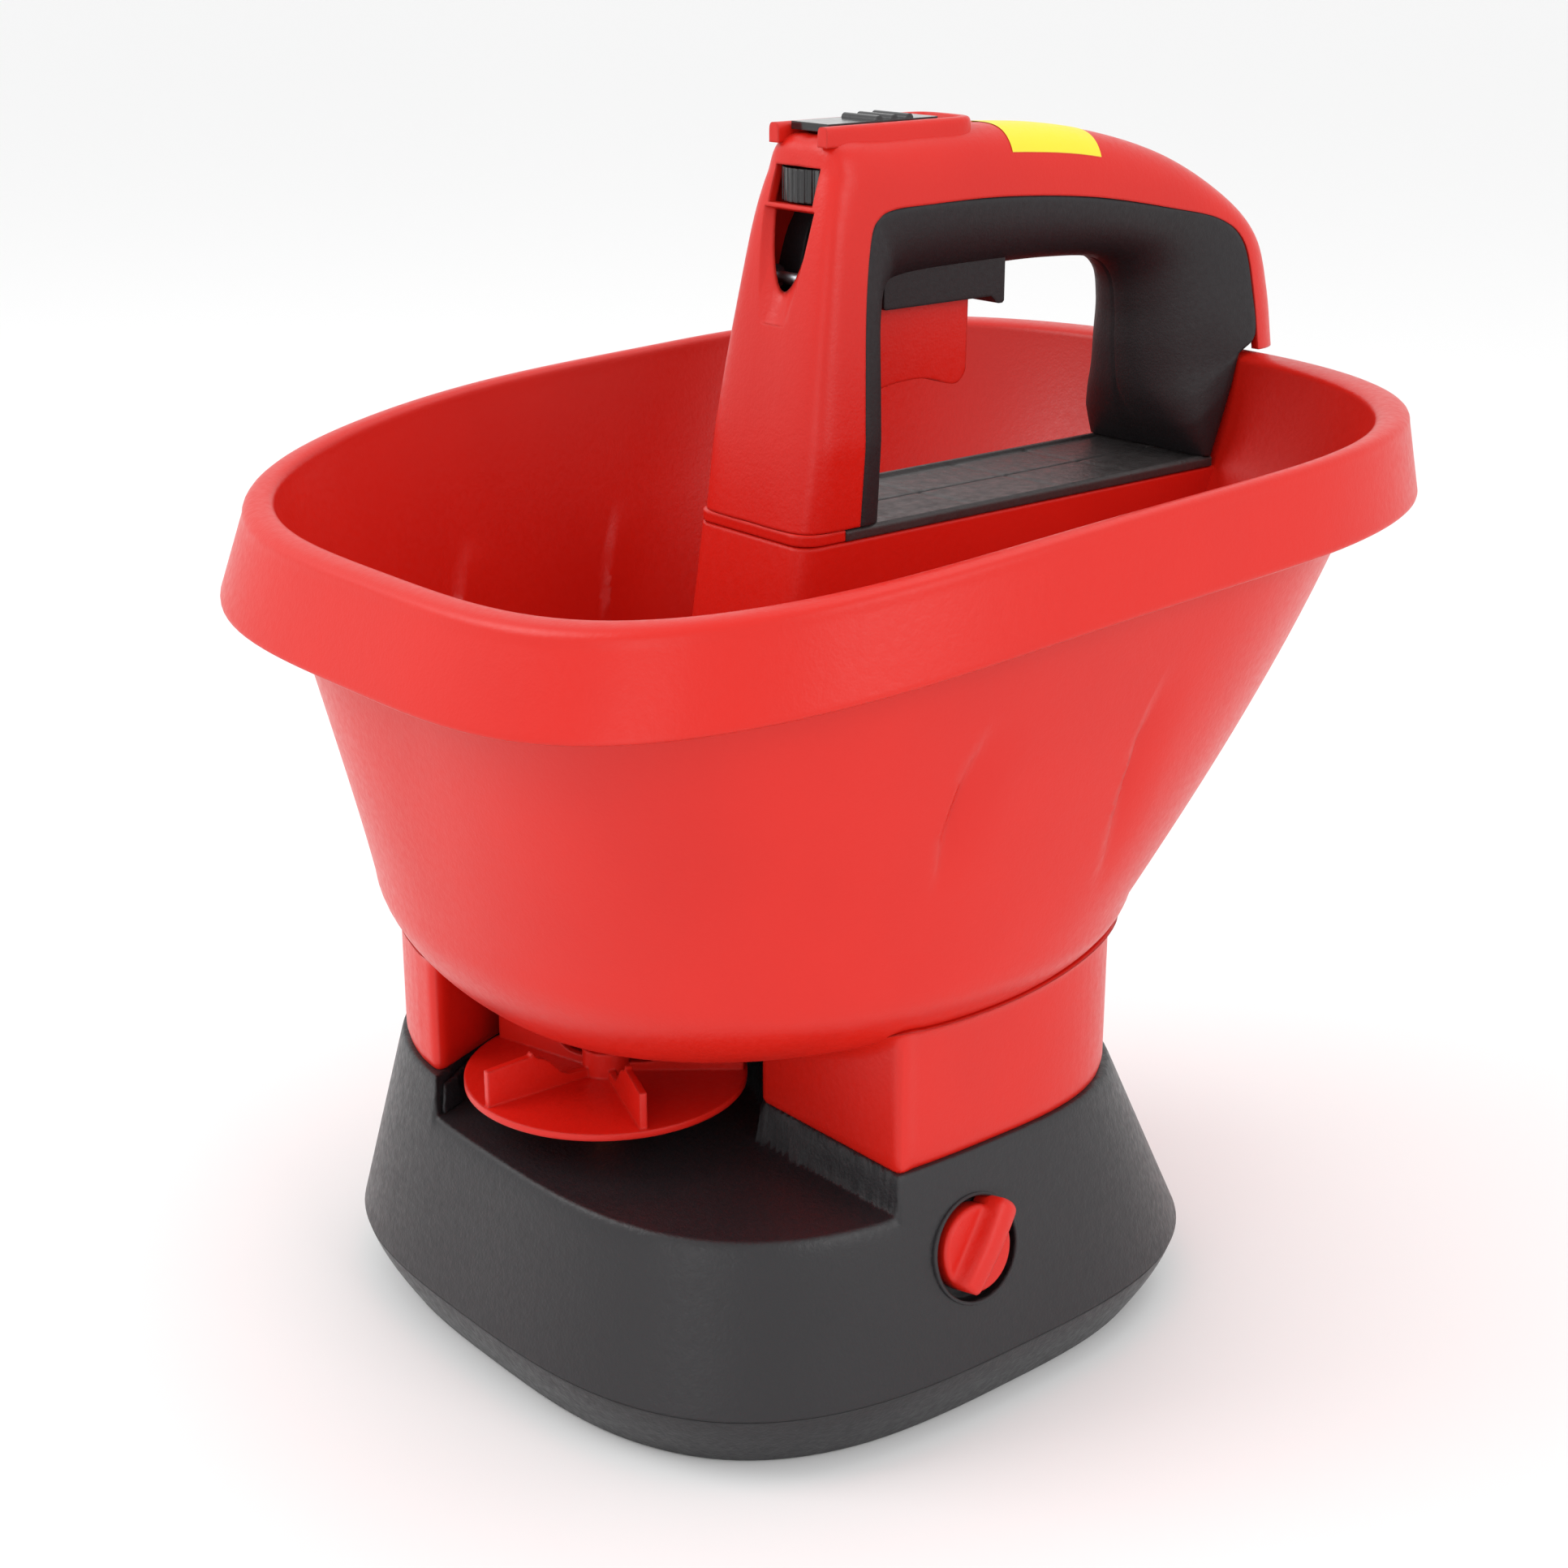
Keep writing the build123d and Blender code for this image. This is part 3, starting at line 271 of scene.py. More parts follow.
RED, RED_DARK, RED_EDGE = (0.64, 0.013, 0.006), (0.57, 0.009, 0.004), (0.74, 0.04, 0.022)
FINISHES = {
    "red_body": plastic("red_body", RED, RED_DARK, 0.36, 0.05, 1500, 0.00005, RED_EDGE, edge_amount=0.5,
                        specular=0.36),
    "red_hopper": plastic("red_hopper", RED, RED_DARK, 0.34, 0.05, 1500, 0.00004, RED_EDGE, edge_amount=0.35,
                          specular=0.36),
    "charcoal": plastic("charcoal", (0.017, 0.016, 0.018), (0.013, 0.012, 0.014), 0.40, 0.07, 1300, 0.00010,
                        (0.045, 0.043, 0.046), specular=0.42),
    "soft_grip": plastic("soft_grip", (0.014, 0.012, 0.014), (0.011, 0.010, 0.011), 0.56, 0.06, 1800, 0.00007,
                         (0.028, 0.026, 0.028), specular=0.35),
    "shelf_black": plastic("shelf_black", (0.034, 0.030, 0.030), (0.024, 0.021, 0.022), 0.44, 0.10, 900, 0.00014,
                           (0.09, 0.085, 0.085), drift_scale=40.0),
    "black_gloss": plastic("black_gloss", (0.010, 0.010, 0.011), (0.013, 0.013, 0.014), 0.16, 0.04, 900, 0.00001,
                           (0.04, 0.04, 0.04), edge_radius=0.0006, coat=0.3),
    "white_plastic": plastic("white_plastic", (0.74, 0.73, 0.69), (0.68, 0.67, 0.62), 0.42, 0.06, 1400, 0.00004,
                             (0.80, 0.80, 0.78)),
    "board": plastic("board", (0.02, 0.14, 0.05), (0.015, 0.10, 0.04), 0.30, 0.05, 900, 0.00003, (0.10, 0.25, 0.12)),
    "sticker": plastic("sticker", (0.88, 0.72, 0.02), (0.84, 0.66, 0.02), 0.45, 0.05, 1800, 0.00003,
                       (0.93, 0.85, 0.35), edge_radius=0.0003),
    "pad_rubber": plastic("pad_rubber", (0.022, 0.022, 0.022), (0.03, 0.03, 0.03), 0.75, 0.08, 1100, 0.00012,
                          (0.05, 0.05, 0.05), specular=0.3),
    "steel": metal("steel", (0.62, 0.62, 0.61), (0.52, 0.52, 0.53), 0.24, (2200.0, 2200.0, 40.0)),
    "zinc_screw": metal("zinc_screw", (0.60, 0.61, 0.64), (0.50, 0.50, 0.55), 0.34, (600.0, 600.0, 600.0)),
    "brass_part": metal("brass_part", (0.78, 0.56, 0.24), (0.66, 0.45, 0.18), 0.28, (60.0, 60.0, 2400.0)),
}


def slot_of():
    """Material slot of every node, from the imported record."""
    return {part["node"]: part["material_slot"] for part in frame["record"]["subparts"]}


def dress_nodes():
    """Give every frame node its finish."""
    slots = slot_of()
    for name, obj in frame["nodes"].items():
        obj.data.materials.clear()
        obj.data.materials.append(FINISHES[slots[name]])


dress_nodes()


# ---- mesh making ----
def add_piece(name, verts, faces, finish, body="frame", nodes=()):
    """Mesh piece in millimetres, with outward faces and smooth shading up to the crease angle."""
    mesh = bpy.data.meshes.new(name)
    mesh.from_pydata((np.asarray(verts, float) * MM).tolist(), [], [list(map(int, f)) for f in faces])
    work = bmesh.new()
    work.from_mesh(mesh)
    bmesh.ops.remove_doubles(work, verts=work.verts, dist=0.00001)
    bmesh.ops.dissolve_degenerate(work, edges=work.edges, dist=0.000005)
    bmesh.ops.recalc_face_normals(work, faces=work.faces)
    work.to_mesh(mesh)
    work.free()
    mesh.shade_smooth()
    mesh.set_sharp_from_angle(angle=math.radians(CREASE_ANGLE))
    piece = bpy.data.objects.new(name, mesh)
    bpy.context.scene.collection.objects.link(piece)
    mesh.materials.append(FINISHES[finish])
    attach(piece, body)
    if nodes:
        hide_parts(*nodes)
    return piece


def quads(rows, cols, wrap_rows=False, wrap_cols=False, offset=0):
    """Faces of a grid of points, row by row."""
    index = np.arange(rows * cols).reshape(rows, cols) + offset
    if wrap_rows:
        index = np.vstack([index, index[:1]])
    if wrap_cols:
        index = np.hstack([index, index[:, :1]])
    return np.stack([index[:-1, :-1], index[:-1, 1:], index[1:, 1:], index[1:, :-1]], -1).reshape(-1, 4)


def grid_piece(name, grid, finish, wrap_rows=False, wrap_cols=True, cap=False, **options):
    """Piece from a (rows, columns, 3) grid; cap closes the first and last row with a fan."""
    rows, cols = grid.shape[:2]
    verts = grid.reshape(-1, 3)
    faces = quads(rows, cols, wrap_rows, wrap_cols).tolist()
    if cap:
        centres = np.array([grid[0].mean(0), grid[-1].mean(0)])
        verts = np.vstack([verts, centres])
        for row, centre in ((0, rows * cols), (rows - 1, rows * cols + 1)):
            ring = np.arange(cols) + row * cols
            faces += [[int(a), int(b), centre] for a, b in zip(ring, np.roll(ring, -1))]
    return add_piece(name, verts, faces, finish, **options)


def smooth_curve(points, at):
    """Natural cubic spline through (x, y) points, read at the given values of x."""
    x, y = points.astype(float).T
    n = len(x)
    h = np.diff(x)
    rows = np.eye(n)
    right = np.zeros(n)
    for i in range(1, n - 1):
        rows[i, i - 1:i + 2] = h[i - 1], 2 * (h[i - 1] + h[i]), h[i]
        right[i] = 6 * ((y[i + 1] - y[i]) / h[i] - (y[i] - y[i - 1]) / h[i - 1])
    bend = np.linalg.solve(rows, right)
    at = np.asarray(at, float)
    i = np.clip(np.searchsorted(x, at) - 1, 0, n - 2)
    a, b = x[i + 1] - at, at - x[i]
    return ((bend[i] * a ** 3 + bend[i + 1] * b ** 3) / (6 * h[i]) + (y[i] / h[i] - bend[i] * h[i] / 6) * a
            + (y[i + 1] / h[i] - bend[i + 1] * h[i] / 6) * b)


def rim(y):
    """Height of the hopper's edge at each y."""
    return smooth_curve(RIM_POINTS, y)


def egg(ring, angle, inset=0.0):
    """Plan of one outline: r = (|cos|^p + |sin|^p)^(-1/p), with its own reach and power in front and behind."""
    half, front, rear, widest, p_front, p_rear = (ring[..., i] for i in range(6))
    c, s = np.cos(angle), np.sin(angle)
    power = np.where(s < 0, p_front, p_rear)
    reach = np.where(s < 0, widest - front, rear - widest) - inset
    r = (np.abs(c) ** power + np.abs(s) ** power) ** (-1 / power)
    return (half - inset) * r * c, widest + reach * r * s


def ring_at(table, z):
    """Outline values at each height, on the polynomial through the table's rows."""
    z = np.asarray(z, float)
    total = 0
    for i, row in enumerate(table):
        weight = np.ones_like(z)
        for j, other in enumerate(table):
            if j != i:
                weight = weight * (z - other[0]) / (row[0] - other[0])
        total = total + weight[..., None] * row[1:]
    return total


def belly_at(z):
    """Outline below the crease: a superelliptic curve down to the flat floor."""
    depth = np.clip((CREASE[0] - np.asarray(z, float)) / (CREASE[0] - FLOOR[0]), 0, 1)
    share = (1 - depth ** BELLY_POWER) ** (1 / BELLY_POWER)
    low, high = np.array(FLOOR[1:]), np.array(CREASE[1:])
    return low + (high - low) * share[..., None]


# ---- hopper ----
FLUTES = ((-27.0, 145.0, 184.0), (26.0, 134.0, 186.0))     # y at mid height, lowest and highest z
FLUTE_DEPTH, FLUTE_RUN, FLUTE_LEAN, FLUTE_BOW = 2.0, 15.0, 9.0, 3.0


def flute_depth(x, y, z):
    """Shallow crescent scoops on both sides: crisp front edge, fading backwards, ends running out to nothing."""
    depth = np.zeros_like(z)
    for middle, low, high in FLUTES:
        along = np.clip((z - low) / (high - low), 0, 1)
        line = middle + FLUTE_LEAN * (along - 0.5) - FLUTE_BOW * (1 - (2 * along - 1) ** 2)
        away = y - line
        scoop = np.where(away < 0, np.clip(1 + away / 1.2, 0, 1), np.clip(1 - away / FLUTE_RUN, 0, 1) ** 2)
        depth = depth + FLUTE_DEPTH * scoop * np.sin(np.pi * along) ** 0.8
    return depth * (np.abs(x) > 40)


def column_angles(count=176):
    """Angles round the outline, closer together where the flutes are."""
    angle = np.linspace(0, 2 * np.pi, count, endpoint=False)
    fine = np.radians(np.concatenate([np.arange(-50, 12, 0.8), np.arange(168, 230, 0.8)]))
    return np.unique(np.round(np.mod(np.concatenate([angle, fine]), 2 * np.pi), 5))


def wall_row(angle, z, inset):
    """One row on the bowl's wall above the crease, or on the belly below it."""
    z = np.broadcast_to(np.asarray(z, float), angle.shape)
    above = ring_at(WALL_RINGS, np.maximum(z, CREASE[0]))
    below = belly_at(np.minimum(z, CREASE[0]))
    x, y = egg(np.where((z >= CREASE[0])[:, None], above, below), angle, inset)
    pull = flute_depth(x, y, z) / np.hypot(x, y)
    return np.stack([x * (1 - pull), y * (1 - pull), z], -1)


def row_below_rim(angle, drop, inset, skirt=False):
    """Row that follows the curved edge: z = rim(y) - drop, found by a few repeats because y depends on z."""
    z = np.full(angle.shape, 225.0)
    for _ in range(8):
        ring = ring_at(SKIRT_RINGS if skirt else WALL_RINGS, z)
        x, y = egg(ring, angle, inset)
        z = rim(y) - drop
    return np.stack([x, y, z], -1)


LIP_POWER = 2.6


def hopper_bowl():
    """Closed profile carried round the outline: floor, inner wall, rounded lip, skirt, outer wall, belly."""
    angle = column_angles()
    rows = []
    floor_in = FLOOR[0] + WALL
    for t in np.linspace(0, 1, 15):                      # inner belly, from the floor up to the crease
        z = floor_in + (CREASE[0] + 1.2 - floor_in) * t ** 1.9
        rows.append(wall_row(angle, z - WALL * (1 - t), WALL * (0.35 + 0.65 * t)) + [0, 0, WALL * (1 - t)])
    top_in = row_below_rim(angle, 2.4, WALL)
    for t in np.linspace(0.03, 1, 34):                   # inner wall, with equal shares of each column's height
        z = CREASE[0] + 1.2 + (top_in[:, 2] - CREASE[0] - 1.2) * t
        rows.append(wall_row(angle, z, WALL))
    top_out = row_below_rim(angle, 3.2, SKIN_GAP, skirt=True)
    for t in np.linspace(0, 1, 15)[1:-1]:                # lip: superelliptic arch between wall and skirt
        across = 0.5 - 0.5 * np.cos(np.pi * t)
        lift = (1 - np.abs(2 * across - 1) ** LIP_POWER) ** (1 / LIP_POWER)
        point = top_in + (top_out - top_in) * across
        point[:, 2] = rim(point[:, 1]) - (2.4 + 0.8 * across) * (1 - lift) - 0.05
        rows.append(point)
    for drop in (3.2, 4.2, 6, 9, 12, 15, 18, 20.0, SKIRT_DROP - 1.0):
        rows.append(row_below_rim(angle, drop, SKIN_GAP, skirt=True))
    for t in np.linspace(0, np.pi, 7):                   # rolled lower edge of the skirt
        inset = SKIN_GAP + (SKIRT_WALL / 2) * (1 - np.cos(t))
        rows.append(row_below_rim(angle, SKIRT_DROP - 1.0 + 0.95 * np.sin(t), inset, skirt=True))
    for drop in (18.0, 12.0, 7.0, 4.0):
        rows.append(row_below_rim(angle, drop, SKIRT_WALL + SKIN_GAP, skirt=True))
    corner_out, corner_in = rows[-1], row_below_rim(angle, 4.0, 0.0)
    for t in (0.2, 0.5, 0.8):                            # underside of the lip
        point = corner_out + (corner_in - corner_out) * t
        point[:, 2] = rim(point[:, 1]) - 3.0
        rows.append(point)
    for t in np.linspace(0, 1, 34):                      # outer wall, down to the crease
        z = corner_in[:, 2] - 0.6 + (CREASE[0] + 0.8 - corner_in[:, 2] + 0.6) * t
        rows.append(wall_row(angle, z, 0))
    for t in np.linspace(0, 1, 22)[1:]:                  # belly, down to the floor
        z = CREASE[0] - (CREASE[0] - FLOOR[0]) * np.sin(t * np.pi / 2)
        rows.append(wall_row(angle, z, 0))
    return grid_piece("hopper_bowl", np.array(rows), "red_hopper", wrap_rows=True, nodes=("hopper",))


def hopper_floor():
    """Ring plate between the belly's lower edge and the round hole of the outlet, with rolled edges."""
    angle = np.linspace(0, 2 * np.pi, 96, endpoint=False)
    outer = np.stack(egg(np.array(FLOOR[1:]), angle, -0.4), -1)
    hole = np.stack([9.0 * np.cos(angle), -38.0 + 6.5 * np.sin(angle)], -1)
    rows = []
    low, high = FLOOR[0] + 0.1, FLOOR[0] + WALL - 0.1
    for share, z in ((0, low), (0.5, low), (0.98, low), (1.0, low + 0.3), (1.0, high - 0.3), (0.98, high),
                     (0.5, high), (0, high)):
        plan = outer + (hole - outer) * share
        rows.append(np.column_stack([plan, np.full(len(angle), z)]))
    return grid_piece("hopper_floor", np.array(rows), "red_hopper", wrap_rows=True)


def rounded_path(corners, radii, step=1.2):
    """Closed plan path through corners, each turned with a parabola of its radius, as evenly spaced points."""
    corners = np.asarray(corners, float)
    pieces = []
    for before, here, after, radius in zip(np.roll(corners, 1, 0), corners, np.roll(corners, -1, 0), radii):
        u, v = before - here, after - here
        u, v = u / np.linalg.norm(u), v / np.linalg.norm(v)
        half = math.acos(float(np.clip(u @ v, -1, 1))) / 2
        if radius < 0.05 or half > 1.55:
            pieces.append(here[None])
            continue
        room = min(np.linalg.norm(before - here), np.linalg.norm(after - here))
        reach = min(radius / math.tan(half), 0.49 * room)
        start, end = here + u * reach, here + v * reach
        t = np.linspace(0, 1, max(4, int(radius * 2)))[:, None]
        pieces.append((1 - t) ** 2 * start + 2 * t * (1 - t) * here + t ** 2 * end)
    path = np.vstack(pieces)
    closed = np.vstack([path, path[:1]])
    length = np.concatenate([[0], np.cumsum(np.linalg.norm(np.diff(closed, axis=0), axis=1))])
    count = max(16, int(length[-1] / step))
    at = np.linspace(0, length[-1], count, endpoint=False)
    return np.stack([np.interp(at, length, closed[:, i]) for i in (0, 1)], -1)


def inward(path, distance):
    """Path moved to its left by a distance, along the normals of its smoothed tangents."""
    tangent = np.roll(path, -1, 0) - np.roll(path, 1, 0)
    tangent /= np.linalg.norm(tangent, axis=1)[:, None]
    return path + distance * np.stack([-tangent[:, 1], tangent[:, 0]], -1)


def neck_path():
    """Plan of the hopper's foot: round the back from the right cut face to the left one, then in round the disc."""
    half, front, rear, power = NECK
    ring = np.array([half, front, rear, 0.0, power, power])
    x, y = egg(ring, np.radians(np.linspace(-19.5, 247.0, 90)))
    keep = (y > NOTCH_WALL_Y) | (x < 0)
    outer = np.stack([x[keep], y[keep]], -1)
    outer = outer[(outer[:, 0] > 0) | (outer[:, 1] > -84.5)]
    pocket = np.radians(np.linspace(170, 34, 20))
    curve = np.stack([NOTCH_R * np.cos(pocket), DISC_Y + NOTCH_R * np.sin(pocket)], -1)
    curve = curve[curve[:, 1] > -44.5]
    inner = np.vstack([[[-30.2, -85.2], [-46.0, -46.0]], curve[1:], [[36.0, NOTCH_WALL_Y]]])
    corners = np.vstack([[[87.0, NOTCH_WALL_Y]], outer[1:], inner])
    radii = np.full(len(corners), 1.0)
    radii[0] = 3.0
    radii[len(outer)] = 4.0
    radii[len(outer) + 1] = 4.0
    return rounded_path(corners, radii)


def belly_height(plan):
    """Height of the belly's outer surface over each plan point, by halving between the floor and the crease."""
    x, y = plan[:, 0], plan[:, 1]
    low, high = np.full(len(x), FLOOR[0]), np.full(len(x), CREASE[0])
    for _ in range(24):
        z = (low + high) / 2
        half, front, rear, widest, p_front, p_rear = belly_at(z).T
        power = np.where(y < widest, p_front, p_rear)
        reach = np.where(y < widest, widest - front, rear - widest)
        size = (np.abs(x) / half) ** power + (np.abs(y - widest) / reach) ** power
        outside = size > 1
        low, high = np.where(outside, z, low), np.where(outside, high, z)
    return (low + high) / 2


def hopper_neck():
    """Wall along the neck's plan: height rises to the belly, where it flares out in a small fillet."""
    path = neck_path()
    top = np.minimum(belly_height(path), 114.0)
    rows = []
    outside, inside = path, inward(path, WALL)
    for t in np.linspace(0, 1, 16):
        z = BASE_TOP + 0.05 + (top - 3.2 - BASE_TOP) * t
        edge = 0.6 * (1 - min(1, t / 0.05)) if t < 0.05 else 0
        rows.append(np.column_stack([outside if edge == 0 else inward(path, edge), z]))
    for t in np.linspace(0, 1, 6)[1:]:
        flare = 2.4 * (1 - math.sqrt(max(0.0, 1 - t * t)))
        rows.append(np.column_stack([inward(path, -flare), top - 3.2 + (3.6 + 0.3 * t) * t]))
    high = top + 0.9
    rows.append(np.column_stack([inside, high]))
    for t in np.linspace(0, 1, 6)[1:]:
        rows.append(np.column_stack([inside, high + (BASE_TOP + 0.05 - high) * t]))
    return grid_piece("hopper_neck", np.array(rows), "red_hopper", wrap_rows=True)


def hopper_island():
    """Hollow ridge under the handle: a rounded front and straight sides, run back into the bowl's wall."""
    heights = np.concatenate([np.linspace(89.5, ISLAND_TOP - 1.0, 26), [ISLAND_TOP - 0.4, ISLAND_TOP - 0.05]])
    turn = np.linspace(0, np.pi / 2, 9)
    rows = []
    for z in heights:
        edge = 0.5 if z > ISLAND_TOP - 0.2 else 0.0
        front = -25 + 19 * (z - 84) / (ISLAND_TOP - 84) + edge
        side = ISLAND_HALF - edge - 0.02
        ring = (ring_at(WALL_RINGS, np.array([z])) if z > CREASE[0] else belly_at(np.array([z])))[0]
        rear = float(egg(ring, np.array([np.pi / 2 - 0.25]), 1.4)[1][0])
        radius = 6.0
        front_arc = np.stack([side - radius + radius * np.sin(turn), front + radius - radius * np.cos(turn)], -1)
        run = np.linspace(front + radius, rear, 22)[1:]
        right = np.vstack([front_arc, np.column_stack([np.full(len(run), side), run])])
        left = right[::-1] * [-1, 1]
        plan = np.vstack([right, left])
        rows.append(np.column_stack([plan, np.full(len(plan), z)]))
    return grid_piece("hopper_island", np.array(rows), "red_hopper", cap=True)


hopper_bowl()
hopper_floor()
hopper_neck()
hopper_island()


# ---- cutting ----
def box_cutter(low, high):
    """Closed box in millimetres, used only to cut."""
    sides = list(zip(low, high))
    corners = np.array([[x, y, z] for x in sides[0] for y in sides[1] for z in sides[2]])
    faces = [(0, 1, 3, 2), (4, 6, 7, 5), (0, 4, 5, 1), (2, 3, 7, 6), (0, 2, 6, 4), (1, 5, 7, 3)]
    return cutter_object(corners, faces)


def cutter_object(verts, faces):
    """Object in millimetres without a material, removed again once it has cut."""
    mesh = bpy.data.meshes.new("cutter")
    mesh.from_pydata((np.asarray(verts, float) * MM).tolist(), [], [list(map(int, f)) for f in faces])
    cutter = bpy.data.objects.new("cutter", mesh)
    bpy.context.scene.collection.objects.link(cutter)
    return cutter


def carve(piece, *cutters):
    """Cut closed shapes out of a piece and keep the result as its mesh."""
    for cutter in cutters:
        cut = piece.modifiers.new("cut", "BOOLEAN")
        cut.operation = "DIFFERENCE"
        cut.solver = "EXACT"
        cut.object = cutter
    bpy.context.view_layer.update()
    made = bpy.data.meshes.new_from_object(piece.evaluated_get(bpy.context.evaluated_depsgraph_get()))
    piece.modifiers.clear()
    piece.data = made
    made.shade_smooth()
    made.set_sharp_from_angle(angle=math.radians(CREASE_ANGLE))
    for cutter in cutters:
        bpy.data.objects.remove(cutter)
    return piece


# ---- handle grip ----
# matched (y, z) points on the edge against the red halves and on the finger opening, with the section's power
GRIP_PAIRS = np.array([
    (11.4, 207.6, 23.0, 207.6, 3.4), (13.9, 240.0, 25.0, 240.0, 3.2), (16.6, 266.0, 27.2, 254.0, 2.9),
    (20.2, 279.0, 30.8, 261.3, 2.6), (27.5, 284.0, 38.5, 264.0, 2.4), (66.0, 284.3, 66.0, 264.6, 2.3),
    (98.0, 281.8, 92.0, 264.6, 2.3), (128.0, 276.7, 113.0, 262.8, 2.3), (147.5, 272.3, 121.6, 257.5, 2.3),
    (157.3, 265.0, 124.2, 248.0, 2.4), (160.8, 251.0, 124.8, 237.0, 2.5), (161.9, 239.5, 126.6, 226.0, 2.9),
    (155.0, 235.2, 130.6, 218.4, 4.2), (148.6, 219.0, 135.6, 212.2, 6.0), (144.2, 207.6, 139.6, 207.6, 8.0)])


def through(points, count):
    """Evenly spaced rows on a Catmull-Rom curve through the rows of a table."""
    padded = np.vstack([2 * points[0] - points[1], points, 2 * points[-1] - points[-2]])
    at = np.linspace(0, len(points) - 1 - 1e-9, count)
    i = at.astype(int)
    t = (at - i)[:, None]
    a, b, c, d = padded[i], padded[i + 1], padded[i + 2], padded[i + 3]
    return 0.5 * (2 * b + (c - a) * t + (2 * a - 5 * b + 4 * c - d) * t ** 2 + (3 * b - a - 3 * c + d) * t ** 3)


def handle_half(z):
    """Half width of the handle at each height: 22 mm at the shelf, 14 mm at the spine."""
    return 22.0 - 8.0 * np.clip((z - 227.5) / 75.5, 0, 1)


def grip():
    """Half superellipse carried round the finger opening: x = w |cos|^(2/n), depth = |sin|^(2/n) of the way from
    the red edge to the opening, with a groove along the red edge and a seam down the middle."""
    rows = through(GRIP_PAIRS, 190)
    outer, inner, power = rows[:, 0:2], rows[:, 2:4], rows[:, 4]
    phi = np.concatenate([np.linspace(0, 0.12, 7)[:-1], np.linspace(0.12, np.pi / 2 - 0.06, 22)[:-1],
                          np.linspace(np.pi / 2 - 0.06, np.pi / 2, 6)])
    phi = np.concatenate([phi, (np.pi - phi)[::-1][1:]])
    c, s = np.cos(phi)[None], np.sin(phi)[None]
    bend = (2 / power)[:, None]
    half = handle_half(outer[:, 1])[:, None]
    share = np.abs(s) ** bend
    span = np.linalg.norm(inner - outer, axis=1)[:, None]
    x = np.sign(c) * (half + 0.25) * np.abs(c) ** bend
    x = x - np.sign(c) * 1.3 * np.exp(-(share * span / 0.9) ** 2)
    share = share - 0.45 / span * np.exp(-(x / 0.45) ** 2)
    plan = outer[:, None] + (inner - outer)[:, None] * share[..., None]
    front = np.dstack([x, plan])
    back_x = np.linspace(-1, 1, 9)[1:-1][None] * (half - 1.0)
    back = np.dstack([back_x, np.repeat(outer[:, None], back_x.shape[1], 1)])
    piece = grid_piece("handle_grip", np.concatenate([front, back], 1), "soft_grip", cap=True,
                       nodes=("grip_right", "grip_left"))
    trigger_slot = box_cutter((-6.6, 5, 229), (6.6, 66, 279))
    surround_seat = box_cutter((-9.05, 30.9, 250), (9.05, 73.05, 263.4))
    switch_pocket = box_cutter((-3.05, 65, 268.9), (3.05, 90.05, 279.1))
    return carve(piece, trigger_slot, surround_seat, switch_pocket)


def shelf():
    """Shelf under the finger opening: a rim strip along each side, a lengthwise seam and faint cross lines."""
    x = np.unique(np.concatenate([np.linspace(-SHELF_HALF, SHELF_HALF, 45),
                                  [-19.7, -19.2, 19.2, 19.7, -0.4, 0.4, -0.15, 0.15]]))
    y = np.unique(np.concatenate([np.linspace(7.55, 143.4, 120), [26.0, 26.4, 141.0]]))
    xx, yy = np.meshgrid(x, y)
    lengthwise = np.clip((yy - 25.4) / 0.6, 0, 1) * np.clip((141.4 - yy) / 0.6, 0, 1)
    inside = np.clip((19.7 - np.abs(xx)) / 0.5, 0, 1) * lengthwise
    groove = 0.5 * np.exp(-(xx / 0.35) ** 2)
    for line in (52.0, 84.0, 112.0):
        groove = groove + 0.3 * np.exp(-((yy - line - 0.1 * xx) / 0.7) ** 2)
    edge = 0.7 * np.clip(1 - (SHELF_HALF - np.abs(xx)) / 0.8, 0, 1) ** 2
    top = SHELF_TOP - inside * (0.85 + groove) - edge
    low = np.full_like(top, SHELF_LOW)
    rows = np.concatenate([np.dstack([xx, yy, top]), np.dstack([xx, yy, low])[:, ::-1]], 1)
    return grid_piece("handle_shelf", rows, "shelf_black", nodes=("platform",))


# ---- red handle ----
HANDLE_SCREWS = ((1.4, 216.0), (11.0, 266.0), (84.0, 291.5), (140.0, 280.0), (167.5, 247.0))     # y, z

# matched (y, z) points on the outer profile and on the edge against the grip, with the section's two powers
SHELL_PAIRS = np.array([
    (-5.9, 207.6, 12.2, 207.6, 5.0, 6.0), (-0.9, 240.0, 14.7, 240.0, 5.0, 6.0),
    (3.1, 262.0, 16.8, 262.0, 5.0, 6.0), (6.6, 280.0, 19.6, 277.0, 5.0, 6.0),
    (9.8, 292.0, 22.6, 281.5, 4.6, 5.0), (13.4, 300.4, 27.5, 283.2, 4.0, 4.4),
    (30.0, 300.9, 38.0, 283.6, 3.6, 4.0), (66.0, 300.9, 66.0, 283.6, 3.4, 3.6),
    (99.0, 298.2, 98.0, 281.1, 3.2, 3.4), (131.0, 290.3, 128.0, 276.0, 3.0, 3.0),
    (155.0, 278.3, 147.2, 271.6, 2.7, 2.6), (169.5, 265.5, 156.8, 264.6, 2.4, 2.3),
    (175.4, 250.5, 160.2, 250.8, 2.3, 2.1), (177.4, 234.9, 161.5, 234.9, 2.3, 2.1)])


